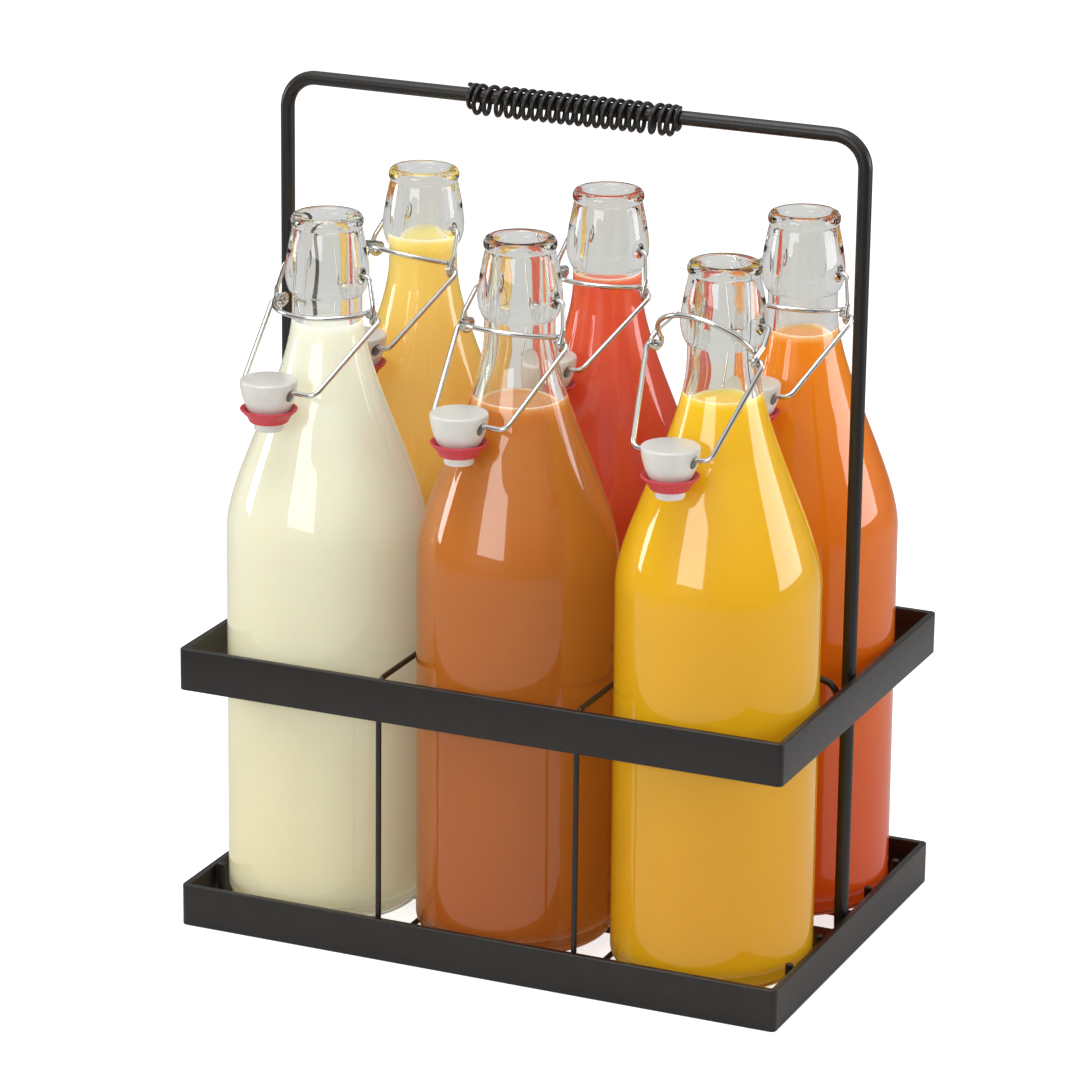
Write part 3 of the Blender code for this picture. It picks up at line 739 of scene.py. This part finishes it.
class CADDY_OT_wires(bpy.types.Operator):
    """Make the dividers and the wires under the bottles"""

    bl_idname = "caddy.wires"
    bl_label = "Dividers and floor wires"

    def execute(self, context):
        settings = context.scene.caddy_carrier
        places = carrier_places(settings)
        finish = bpy.data.materials["powder_coat"]
        wire = settings.divider_wire
        side = places["inner_y"] - SEAT_GAP - wire / 2
        low, high = SEAT_GAP + wire / 2, places["upper_top"] - wire / 2 - SEAT_GAP
        corners = [(0, -side, low), (0, side, low), (0, side, high), (0, -side, high)]
        loop = rounded(corners, settings.divider_bend, BEND_STEPS, closed=True)
        loop = even(loop, PATH_STEP, closed=True)
        for node in ("cross_divider_left", "cross_divider_right"):
            middle = (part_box(node)[0][0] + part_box(node)[1][0]) / 2
            grid = tube(loop + np.array([middle, 0, 0]), wire, 16, closed=True)
            piece = skin(f"{node}_wire", [grid], [finish], closed_rows=True)
            dress(piece, "carrier", node)
        wire = settings.row_wire
        end = places["post_x"] - settings.handle_rod / 2 - SEAT_GAP - wire / 2
        high = places["upper_top"] - settings.divider_wire - 2 * SEAT_GAP - wire / 2
        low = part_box("long_divider")[0][2]
        corners = [(-end, 0, low), (-end, 0, high), (end, 0, high), (end, 0, low)]
        path = even(rounded(corners, settings.row_bend, BEND_STEPS), PATH_STEP)
        piece = skin("long_divider_wire", [tube(path, wire, 18)], [finish])
        dress(piece, "carrier", "long_divider")
        wire = settings.floor_wire
        end = places["inner_x"] - SEAT_GAP - wire / 2
        low = places["floor_base"] + wire / 2
        for number in range(1, 5):
            node = f"floor_wire_{number}"
            box_low, box_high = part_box(node)
            y = (box_low[1] + box_high[1]) / 2
            high = box_high[2]
            corners = [(-end, y, high), (-end, y, low), (end, y, low), (end, y, high)]
            path = even(rounded(corners, settings.floor_bend, BEND_STEPS), PATH_STEP)
            piece = skin(f"{node}_rod", [tube(path, wire, 20)], [finish])
            dress(piece, "carrier", node)
        return {"FINISHED"}


class CADDY_OT_handle(bpy.types.Operator):
    """Make the bent round handle"""

    bl_idname = "caddy.handle"
    bl_label = "Handle"

    def execute(self, context):
        settings = context.scene.caddy_carrier
        places = carrier_places(settings)
        low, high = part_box("handle")
        x = places["post_x"]
        top = high[2] - settings.handle_rod / 2
        corners = [(-x, 0, low[2]), (-x, 0, top), (x, 0, top), (x, 0, low[2])]
        path = even(rounded(corners, settings.handle_bend, 2 * BEND_STEPS), PATH_STEP)
        finish = bpy.data.materials["powder_coat"]
        grid = tube(path, settings.handle_rod, 36, end_round=0.2)
        piece = skin("handle_rod", [grid], [finish])
        dress(piece, "carrier", "handle")
        return {"FINISHED"}


class CADDY_OT_grip(bpy.types.Operator):
    """Wind the wire grip in the middle of the handle"""

    bl_idname = "caddy.grip"
    bl_label = "Grip coil"

    left_pitches = (0.0027, 0.0030, 0.0056, 0.0056)
    right_pitches = (0.0060, 0.0038, 0.0034, 0.0028)
    pitch = 0.0041
    turns = 16
    start = -0.0305
    end_turns = 1.5
    points_per_turn = 28

    def execute(self, context):
        """The helix hangs on the rod, and draws in over its end turns until snug."""
        settings = context.scene.caddy_carrier
        pitches = self.left_pitches + (self.pitch,) * self.turns + self.right_pitches
        count = len(pitches)
        stations = np.concatenate([[0], np.cumsum(pitches)]) + self.start - sum(self.left_pitches)
        turn = np.linspace(0, count, count * self.points_per_turn + 1)
        snug = (settings.handle_rod + settings.grip_wire) / 2 + SEAT_GAP
        loose = settings.grip_turn / 2
        ends = np.minimum(np.minimum(turn, count - turn) / self.end_turns, 1)
        radius = snug + (loose - snug) * (0.5 - 0.5 * np.cos(math.pi * ends))
        angle = 2 * math.pi * turn
        axis_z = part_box("handle")[1][2] - settings.handle_rod / 2
        path = np.column_stack([
            np.interp(turn, np.arange(count + 1), stations),
            radius * np.sin(angle),
            axis_z + radius * np.cos(angle) - (radius - snug),
        ])
        finish = bpy.data.materials["powder_coat"]
        piece = skin("grip_coil_wire", [tube(path, settings.grip_wire, 14)], [finish])
        dress(piece, "carrier", "grip_coil")
        return {"FINISHED"}


# The bottles


# The hollow under the foot, as (radius, height)
PUNT = np.array([
    (0, 0.0032), (0.012, 0.0030), (0.024, 0.0022), (0.0315, 0.0010), (0.0345, 0.0003)
])


def outer_profile(s):
    """The bottle's outside from the foot's middle up to the lip's top."""
    heel = arc((s.radius - s.heel_radius, s.heel_radius), s.heel_radius, -90, 0, 14)
    body = np.column_stack([
        np.full(24, s.radius), np.linspace(s.heel_radius, s.body_height, 26)[1:-1]
    ])
    shoulder = upright_cubic(
        (s.radius, s.body_height), s.shoulder_reach, (s.neck_radius, s.neck_height), s.neck_reach, 48
    )
    bell = barrel(s)
    collar = rounded(
        [(s.neck_radius, s.neck_height), (s.neck_radius, s.bell_bottom), bell[0], bell[1]],
        [0, 0.0013, 0.0006, 0], 8,
    )[1:-1]
    turn = np.radians(np.linspace(-52, 90, 20))
    half = s.lip_height / 2
    lip = np.column_stack([
        s.lip_radius + s.lip_round * (np.cos(turn) - 1), s.height + half * (np.sin(turn) - 1)
    ])
    return np.vstack([PUNT, heel, body, shoulder, collar, bell[1:], lip])


def barrel(s):
    """The bell's outside, bulging like a barrel, from its foot to the lip's base.

    The radius falls from the widest height with a power of the share gone: 1.4
    upwards to the bell's top radius, and 2.2 downwards to the radius of its foot.
    """
    foot_radius = (2 * s.neck_radius + s.bell_radius) / 3
    foot_height = s.bell_bottom + 0.0007
    lip_base = s.height - s.lip_height
    down = np.linspace(1, 0, 14)
    up = np.linspace(0, 1, 30)[1:]
    lower = np.column_stack([
        s.bell_radius - (s.bell_radius - foot_radius) * down**2.2,
        s.bell_widest - (s.bell_widest - foot_height) * down,
    ])
    upper = np.column_stack([
        s.bell_radius - (s.bell_radius - s.bell_top_radius) * up**1.4,
        s.bell_widest + (lip_base - s.bell_widest) * up,
    ])
    return np.vstack([lower, upper])


def inner_profile(s):
    """The bottle's inside from the floor's middle up to the mouth."""
    body = s.radius - s.wall
    neck = s.mouth_radius + SEAT_GAP
    heel = arc((body - s.heel_radius, s.floor + s.heel_radius), s.heel_radius, -90, 0, 12)
    middle = np.array([(0, s.floor), (0.012, s.floor), (0.024, s.floor)])
    wall = np.column_stack([
        np.full(18, body), np.linspace(s.floor + s.heel_radius, s.body_height, 20)[1:-1]
    ])
    shoulder = upright_cubic(
        (body, s.body_height), s.shoulder_reach, (neck, s.neck_height), s.neck_reach, 44
    )
    lip_base = s.height - s.lip_height
    throat = np.column_stack([
        np.linspace(neck, s.mouth_radius, 26), np.linspace(s.neck_height, lip_base, 26)
    ])[1:]
    return np.vstack([middle, heel, wall, shoulder, throat])


def mouth_profile(s):
    """From the throat round the mouth's inner edge to the lip's top."""
    crown = s.lip_radius - s.lip_round
    return rounded(
        [
            (s.mouth_radius, s.height - s.lip_height), (s.mouth_radius, s.height - 0.0026),
            (s.mouth_radius + 0.0014, s.height - 0.0003), (crown, s.height),
        ],
        [0, 0.0030, 0.0020, 0], 8,
    )[1:-1]


def uneven_inside(grid, s):
    """The inside with the slow waviness of blown glass in the neck and shoulder.

    The radius grows and shrinks by low waves round and along the bottle, which fade
    out towards the body and the mouth.
    """
    x, y, z = grid[..., 0], grid[..., 1], grid[..., 2]
    turn = np.arctan2(y, x)
    fade = np.clip((z - s.body_height) / 0.05, 0, 1) * np.clip((s.height - z) / 0.012, 0, 1)
    wave = (
        0.45 * np.cos(2 * turn + 0.7 + 25 * z) + 0.35 * np.cos(3 * turn - 1.1 - 60 * z)
        + 0.30 * np.sin(240 * z + 2 * np.sin(turn))
    )
    scale = 1 + fade * wave * 0.00045 / np.maximum(np.hypot(x, y), 0.008)
    return np.stack([x * scale, y * scale, z], axis=-1)


def dimpled(grid, s, c):
    """The outside with a round dimple each side for the lever's ends.

    A point's push towards the axis falls smoothly from the dimple's depth to nothing
    between two distances from the dimple's middle.
    """
    flat, rim = 0.0017, 0.0040
    x, y, z = grid[..., 0], grid[..., 1], grid[..., 2]
    away = np.hypot(y, z - s.pivot_height)
    near = np.clip((rim - away) / (rim - flat), 0, 1)
    push = c.dimple_depth * near * near * (3 - 2 * near)
    push = np.where(np.hypot(x, y) > s.bell_top_radius - 0.001, push, 0)
    return np.stack([x - np.sign(x) * push, y, z], axis=-1)


def bottle_grid(s, c):
    """The whole glass as one closed grid, from the outer foot over the lip inside."""
    segments, crowding = 160, 0.6
    outside = dimpled(revolved(outer_profile(s), segments, crowding), s, c)
    inside = uneven_inside(revolved(inner_profile(s), segments, crowding), s)
    mouth = revolved(mouth_profile(s), segments, crowding)
    return np.concatenate([outside, mouth[::-1], inside[::-1]])


class CADDY_OT_bottles(bpy.types.Operator):
    """Make the six glass bottles"""

    bl_idname = "caddy.bottles"
    bl_label = "Bottles"

    def execute(self, context):
        settings = context.scene.caddy_bottle
        finish = glass_finish(settings)
        grid = bottle_grid(settings, context.scene.caddy_closure)
        for name in BOTTLES:
            places = bottle_places(name)
            placed = stood(grid - np.array([0, 0, settings.pivot_height]), places, places["pivot"])
            piece = skin(f"{name}_clear_bottle", [placed], [finish], sharp=60.0)
            dress(piece, f"{name}_bottle", f"{name}_glass")
        return {"FINISHED"}


def drink_grid(s, level):
    """The drink as a grid: the wetted wall up to its level, then the surface.

    The surface climbs the wall in a short meniscus that fades inwards.
    """
    wetting = 0.0001
    inside = inner_profile(s)
    meniscus = 0.0014
    edge = np.interp(level + meniscus, inside[3:, 1], inside[3:, 0])
    below = inside[inside[:, 1] < level + meniscus - 0.0002]
    wall = np.vstack([below, (edge, level + meniscus)])
    side = uneven_inside(revolved(wall, 96, 0.0), s)
    radius = np.hypot(side[..., 0], side[..., 1])
    grown = np.where(radius > 1e-6, 1 + wetting / np.maximum(radius, 1e-6), 1)[..., None]
    side = side * np.concatenate([grown, grown, np.ones_like(grown)], axis=-1)
    side[..., 2] -= np.where(side[..., 2] < s.floor + 0.001, wetting, 0)
    rim = side[-1]
    shares = np.array([0.985, 0.96, 0.92, 0.86, 0.75, 0.5, 0.25, 0.0])
    inward = (1 - shares) * np.linalg.norm(rim[0, :2])
    drop = meniscus * (1 - np.exp(-inward / 0.0012))
    top = rim[None] * np.array([1, 1, 0]) * shares[:, None, None]
    top[..., 2] = (level + meniscus - drop)[:, None]
    return np.concatenate([side, top])


class CADDY_OT_drinks(bpy.types.Operator):
    """Fill the six bottles"""

    bl_idname = "caddy.drinks"
    bl_label = "Drinks"

    def execute(self, context):
        settings = context.scene.caddy_bottle
        drinks = context.scene.caddy_drinks
        for name in BOTTLES:
            places = bottle_places(name)
            level = getattr(drinks, f"{name}_level")
            filled = drink_grid(settings, level) - np.array([0, 0, settings.pivot_height])
            grid = stood(filled, places, places["pivot"])
            low = places["pivot"][2] - settings.pivot_height
            finish = drink_finish(
                name, getattr(drinks, f"{name}_upper"), getattr(drinks, f"{name}_lower"),
                getattr(drinks, f"{name}_froth"), low, low + level, drinks.painted_glow,
            )
            piece = skin(f"{name}_juice", [grid], [finish], sharp=70.0)
            dress(piece, f"{name}_bottle", f"{name}_drink")
        return {"FINISHED"}


# The closures


def mirrored(path):
    """The path and its mirror image in X, as one run from right to left."""
    return np.vstack([path, (path * np.array([-1, 1, 1]))[::-1]])


def eye_radius(c):
    """Radius of an eye at its wire's middle."""
    return c.wire + WIRE_GAP


def eye_side(c, sign):
    """Where the wire leaves the eye, along X: sign 1 outside, -1 inside."""
    return c.eye_spacing / 2 + sign * eye_radius(c) / 2


def lever_path(c, bell_radius):
    """The lever's wire: dimple, arm, eye, hoop round the neck, and back.

    The pivot is the X axis and the arms hang down, with a knee in each. An arm
    passes before its eye's axis, the wire goes three quarters round the eye and
    inwards by its own thickness, and the hoop is half an ellipse.
    """
    ring = eye_radius(c)
    first = math.asin(ring / c.lever_arm)
    outer, inner = eye_side(c, 1), eye_side(c, -1)
    arm_end = np.array([outer, -ring * math.cos(first), ring * math.sin(first) - c.lever_arm])
    corners = [
        (bell_radius - c.dimple_depth + WIRE_GAP, 0, 0), (bell_radius + c.lever_shoulder, 0, 0),
        arm_end * np.array([1, c.lever_knee, c.lever_knee]), arm_end,
    ]
    arm = even(rounded(corners, c.lever_bend, 12), 0.002)[:-1]
    along = np.linspace(0, 1, 45)
    turn = first - (2 * math.pi - c.hoop_angle + first) * along
    eye = np.column_stack([
        outer + (inner - outer) * along, -ring * np.cos(turn), ring * np.sin(turn) - c.lever_arm
    ])
    ahead = np.array([0, -math.sin(c.hoop_angle), -math.cos(c.hoop_angle)])
    swing = np.linspace(0, math.pi / 2, 30)[1:-1]
    hoop = eye[-1] + np.outer(inner * (np.cos(swing) - 1), [1, 0, 0])
    hoop = hoop + c.hoop_reach * np.outer(np.sin(swing), ahead)
    return mirrored(np.vstack([arm, eye, hoop]))


def bail_path(c, shift):
    """The bail's wire: stubs in the lever's eyes, legs, and a straight foot.

    The foot is moved along X by shift.
    """
    ring = eye_radius(c)
    flip = np.array([-1, 1, 1])
    stub = eye_side(c, -1) - c.wire / 2 - c.stub
    leg = eye_side(c, 1) + ring
    top = rounded([(stub, 0, 0), (leg, 0, 0), (leg, 0, -2 * ring)], ring, 12)[:-1]
    foot = c.bail_foot / 2
    low = [(shift + foot, 0, -c.bail_length), (shift - foot, 0, -c.bail_length)]
    lower = rounded([top[-1], *low, top[-1] * flip], c.bail_bend, 12)
    return even(np.vstack([top, lower[1:-1], (top * flip)[::-1]]), 0.003)


class CADDY_OT_levers(bpy.types.Operator):
    """Bend the six levers"""

    bl_idname = "caddy.levers"
    bl_label = "Levers"

    def execute(self, context):
        closure = context.scene.caddy_closure
        finish = metal_finish(closure)
        path = lever_path(closure, context.scene.caddy_bottle.bell_radius)
        for name in BOTTLES:
            places = bottle_places(name)
            run = stood(turned_about_x(path, -places["lever"]), places, places["pivot"])
            grid = tube(run, closure.wire, 18)
            piece = skin(f"{name}_lever_wire", [grid], [finish])
            dress(piece, f"{name}_lever", f"{name}_lever")
        return {"FINISHED"}


class CADDY_OT_bails(bpy.types.Operator):
    """Bend the six bails"""

    bl_idname = "caddy.bails"
    bl_label = "Bails"

    def execute(self, context):
        closure = context.scene.caddy_closure
        finish = bpy.data.materials["zinc_coat"]
        for name in BOTTLES:
            places = bottle_places(name)
            path = bail_path(closure, closure.foot_shift if name in SHIFTED_FEET else 0.0)
            run = stood(turned_about_x(path, -places["bail"]), places, places["eye"])
            grid = tube(run, closure.wire, 18)
            piece = skin(f"{name}_bail_wire", [grid], [finish])
            dress(piece, f"{name}_bail", f"{name}_bail")
        return {"FINISHED"}


def head_profile(c):
    """The stopper's outline from its top's middle down to the stem's end.

    The top is a flat dome, and its edge is an arc. Below, the bowl's radius falls
    with the power 1.8 of the share gone down.
    """
    edge_height = c.head_top - c.head_edge - c.head_dome
    edge = arc((c.head_radius - c.head_edge, edge_height), c.head_edge, 84, 0, 8)
    out = np.linspace(0, 1, 14)[:-1]
    dome = np.column_stack([edge[0, 0] * out, c.head_top - (c.head_top - edge[0, 1]) * out**2])
    down = np.linspace(0, 1, 15)[1:]
    bowl = np.column_stack([
        c.head_radius - (c.head_radius - c.head_foot_radius) * down**1.8,
        edge_height - (c.head_foot + edge_height) * down,
    ])
    stem = rounded(
        [bowl[-1], (c.stem_radius, -c.head_foot), (c.stem_radius, -c.stem_end), (0, -c.stem_end)],
        [0, 0.0003, 0.0010, 0], 6,
    )[1:]
    return even(np.vstack([dome, edge, bowl, stem]), 0.0008)


def seal_profile(c):
    """A thin flared rubber dish round the stem, hollow under its rim."""
    bore = c.stem_radius + SEAT_GAP
    floor = -c.head_foot - SEAT_GAP
    rim = c.seal_rim_thickness
    return rounded(
        [
            (bore, floor), (c.head_foot_radius + WIRE_GAP, floor),
            (c.seal_radius - rim * 0.6, -c.seal_rim), (c.seal_radius, -c.seal_rim - rim * 0.4),
            (c.seal_radius - rim * 0.3, -c.seal_rim - rim),
            (c.seal_foot_radius + 0.0012, floor - 2 * rim), (c.seal_foot_radius, -c.seal_foot),
            (bore, -c.seal_foot),
        ],
        [0.0001, 0.0016, 0.0003, 0.0003, 0.0003, 0.0020, 0.0006, 0.0001], 6, closed=True,
    )


def drilled(blank, drill):
    """The blank's mesh with the drill taken out of it. Both objects go."""
    hole = blank.modifiers.new("cross hole", "BOOLEAN")
    hole.operation = "DIFFERENCE"
    hole.solver = "EXACT"
    hole.object = drill
    bpy.context.view_layer.update()
    graph = bpy.context.evaluated_depsgraph_get()
    mesh = bpy.data.meshes.new_from_object(blank.evaluated_get(graph))
    for item in (blank, drill):
        bpy.data.objects.remove(item)
    return mesh


def hung(points, closure, name):
    """The points where the bottle's stopper hangs, its hole on the bail's foot."""
    places = bottle_places(name)
    drop = closure.hole_radius - closure.wire / 2 - SEAT_GAP
    return stood(points - np.array([0, 0, drop]), places, places["foot"])


class CADDY_OT_stoppers(bpy.types.Operator):
    """Make the six white stoppers"""

    bl_idname = "caddy.stoppers"
    bl_label = "Stoppers"

    def execute(self, context):
        closure = context.scene.caddy_closure
        finish = head_finish(closure)
        blank = skin("stopper_blank", [revolved(head_profile(closure), 72)], [finish])
        line = np.column_stack([np.linspace(-0.02, 0.02, 3), np.zeros(3), np.zeros(3)])
        drill = skin("stopper_drill", [tube(line, 2 * closure.hole_radius, 40)], [finish])
        mesh = drilled(blank, drill)
        points = np.empty(len(mesh.vertices) * 3, np.float32)
        mesh.vertices.foreach_get("co", points)
        points = points.reshape(-1, 3).astype(float)
        for name in BOTTLES:
            copy = mesh.copy()
            placed = hung(points, closure, name)
            copy.vertices.foreach_set("co", placed.astype(np.float32).ravel())
            piece = finished(f"{name}_stopper_head", copy, [finish], sharp=38.0)
            dress(piece, f"{name}_stopper", f"{name}_stopper")
        return {"FINISHED"}


class CADDY_OT_seals(bpy.types.Operator):
    """Make the six red seals"""

    bl_idname = "caddy.seals"
    bl_label = "Seals"

    def execute(self, context):
        closure = context.scene.caddy_closure
        finish = seal_finish(closure)
        grid = revolved(seal_profile(closure), 80)
        for name in BOTTLES:
            placed = [hung(grid, closure, name)]
            piece = skin(f"{name}_seal", placed, [finish], closed_rows=True, sharp=60.0)
            dress(piece, f"{name}_stopper", f"{name}_gasket")
        return {"FINISHED"}


# The stage


def floor_finish(settings):
    """Pale floor that keeps the object's shadow, white in sight and pale through glass.

    In gloss it is pale near the object and as dim as the room further off. Where the
    light has met a drink before its glass, it is as bright as the room.
    """
    finish, add = new_finish("studio_floor")
    white = (1.0, 1.0, 1.0, 1.0)
    camera, glossy, through, diffuse = (
        add("ShaderNodeLightPath", {}, ray)
        for ray in ("Is Camera Ray", "Is Glossy Ray", "Is Transmission Ray", "Diffuse Depth")
    )
    floor = shade(finish, {
        "Base Color": (*settings.floor, 1.0), "Roughness": 0.9, "Specular IOR Level": 0.0,
        "Emission Color": white,
        "Emission Strength": arithmetic(add, "MULTIPLY", camera, settings.floor_glow),
    })
    place = add("ShaderNodeTexCoord", {}, "Object")
    away = add("ShaderNodeVectorMath", {0: place}, "Value", operation="LENGTH")
    far = spread(add, away, 0.0, 1.0, settings.floor_near, settings.floor_far)
    dim = arithmetic(add, "MULTIPLY", far, glossy)
    dusk = add("ShaderNodeEmission", {"Color": white, "Strength": settings.eye_level})
    level = add("ShaderNodeMix", {0: diffuse, 2: settings.backdrop, 3: settings.room})
    pale = add("ShaderNodeEmission", {"Color": white, "Strength": level})
    seen = add("ShaderNodeMixShader", {0: dim, 1: floor, 2: dusk})
    seen = add("ShaderNodeMixShader", {0: through, 1: seen, 2: pale})
    fill(finish.node_tree, finish.node_tree.nodes["Material Output"], {"Surface": seen})
    return finish


def studio_world(settings):
    """The room: white in sight, even as light, and pale through glass.

    In gloss it is dim at eye level and grows brighter towards the ceiling. Where the
    light has met a drink before its glass, it counts as even light.
    """
    world = bpy.data.worlds.new("studio")
    world.use_nodes = True
    world.cycles.sampling_method = "NONE"
    add = adder(world.node_tree)
    direction = add("ShaderNodeTexCoord", {}, "Generated")
    height = add("ShaderNodeSeparateXYZ", {"Vector": direction}, "Z")
    gloss = add("ShaderNodeMapRange", {
        "Value": height, "From Min": 0.15, "From Max": 0.8,
        "To Min": settings.eye_level, "To Max": 1.0,
    }, interpolation_type="SMOOTHSTEP")
    level = settings.room
    for ray, shown in (
        ("Is Glossy Ray", gloss), ("Is Transmission Ray", settings.backdrop),
        ("Diffuse Depth", settings.room), ("Is Camera Ray", 1.0),
    ):
        met = add("ShaderNodeLightPath", {}, ray)
        level = add("ShaderNodeMix", {0: met, 2: level, 3: shown})
    background = world.node_tree.nodes["Background"]
    fill(world.node_tree, background, {"Color": (1, 1, 1, 1), "Strength": level})
    return world


def look_matrix(backwards, roll):
    """The rotation that looks against the vector, level but for the roll."""
    back = unit(np.array(backwards))
    right = unit(np.cross([0, 0, 1], back))
    up = np.cross(back, right)
    tilted = right * math.cos(roll) + up * math.sin(roll)
    raised = up * math.cos(roll) - right * math.sin(roll)
    return Matrix(np.column_stack([tilted, raised, back]).tolist())


def direction_to(azimuth, elevation):
    """The unit vector at azimuth, from -Y towards +X, and elevation, in radians."""
    level = math.cos(elevation)
    return np.array([
        math.sin(azimuth) * level, -math.cos(azimuth) * level, math.sin(elevation)
    ])


# Name, azimuth and elevation in degrees, distance, size, brightness
SOFT_BOXES = (
    ("left_window", -80.0, 9.0, 1.4, (0.30, 0.44), 9.0),
    ("front_window", -8.0, 16.0, 1.6, (0.86, 0.50), 5.5),
    ("right_window", 108.0, 10.0, 1.5, (1.00, 0.55), 5.5),
    ("top_box", -20.0, 76.0, 1.5, (0.90, 0.90), 4.6),
)
LAMPS_AIM = (0.0, 0.0, 0.2)


def soft_box(name, azimuth, elevation, distance, size, glare):
    """A rectangular lamp that faces the object's middle, glare its brightness.

    Its power is glare times pi times its area. It isn't seen through glass, because
    the glass already lets its light through to what is inside.
    """
    aim = direction_to(math.radians(azimuth), math.radians(elevation))
    data = bpy.data.lights.new(name, "AREA")
    data.shape = "RECTANGLE"
    data.size, data.size_y = size
    data.energy = glare * math.pi * size[0] * size[1]
    lamp = bpy.data.objects.new(name, data)
    bpy.context.scene.collection.objects.link(lamp)
    lamp.location = np.array(LAMPS_AIM) + aim * distance
    lamp.rotation_euler = look_matrix(aim, 0.0).to_euler()
    lamp.visible_camera = False
    lamp.visible_transmission = False
    return lamp


def studio_floor(settings, reach=8.0, drop=0.0002, cells=8):
    """A square floor of cells by cells quads, a little below the object."""
    side = np.linspace(-reach, reach, cells + 1)
    x, y = np.meshgrid(side, side, indexing="ij")
    points = np.stack([x, y, np.full_like(x, -drop)], axis=-1).reshape(-1, 3)
    index = np.arange(x.size).reshape(x.shape)
    corners = [index[:-1, :-1], index[1:, :-1], index[1:, 1:], index[:-1, 1:]]
    mesh = bpy.data.meshes.new("studio_floor")
    mesh.from_pydata(points, [], np.stack(corners, axis=-1).reshape(-1, 4))
    mesh.materials.append(floor_finish(settings))
    floor = bpy.data.objects.new("studio_floor", mesh)
    bpy.context.scene.collection.objects.link(floor)
    return floor


class CADDY_OT_stage(bpy.types.Operator):
    """Set the floor, the lamps and the camera"""

    bl_idname = "caddy.stage"
    bl_label = "Stage"

    def execute(self, context):
        settings = context.scene.caddy_stage
        studio_floor(settings)
        context.scene.world = studio_world(settings)
        context.scene.view_settings.view_transform = "Standard"
        for name, *place in SOFT_BOXES:
            soft_box(name, *place)

        data = bpy.data.cameras.new("photo_camera")
        data.lens = settings.lens
        data.sensor_width = 36.0
        data.clip_start, data.clip_end = 0.1, 20.0
        camera = bpy.data.objects.new("photo_camera", data)
        context.scene.collection.objects.link(camera)
        back = direction_to(settings.azimuth, settings.elevation)
        camera.location = np.array(settings.target) + back * settings.distance
        camera.rotation_euler = look_matrix(back, settings.roll).to_euler()
        context.scene.camera = camera
        return {"FINISHED"}


OPERATORS = (
    CADDY_OT_bands, CADDY_OT_wires, CADDY_OT_handle, CADDY_OT_grip, CADDY_OT_bottles,
    CADDY_OT_drinks, CADDY_OT_levers, CADDY_OT_bails, CADDY_OT_stoppers, CADDY_OT_seals,
    CADDY_OT_stage,
)


class CADDY_PT_panel(bpy.types.Panel):
    """The caddy's pieces and their sizes"""

    bl_idname = "CADDY_PT_panel"
    bl_label = "Drinks Caddy"
    bl_space_type = "VIEW_3D"
    bl_region_type = "UI"
    bl_category = "Caddy"

    def draw(self, context):
        for operator in OPERATORS:
            self.layout.operator(operator.bl_idname)
        for group in GROUPS:
            settings = getattr(context.scene, group)
            box = self.layout.box()
            for key in settings.bl_rna.properties.keys():
                if key not in ("rna_type", "name"):
                    box.prop(settings, key)


GROUPS = {
    "caddy_carrier": CarrierSettings,
    "caddy_bottle": BottleSettings,
    "caddy_closure": ClosureSettings,
    "caddy_drinks": DrinkSettings,
    "caddy_stage": StageSettings,
}


def register():
    for name, group in GROUPS.items():
        bpy.utils.register_class(group)
        setattr(bpy.types.Scene, name, bpy.props.PointerProperty(type=group))
    for item in (*OPERATORS, CADDY_PT_panel):
        bpy.utils.register_class(item)


def unregister():
    for item in (CADDY_PT_panel, *reversed(OPERATORS)):
        bpy.utils.unregister_class(item)
    for name, group in GROUPS.items():
        delattr(bpy.types.Scene, name)
        bpy.utils.unregister_class(group)


def main():
    register()
    for operator in OPERATORS:
        family, action = operator.bl_idname.split(".")
        getattr(getattr(bpy.ops, family), action)()


if __name__ == "__main__":
    main()
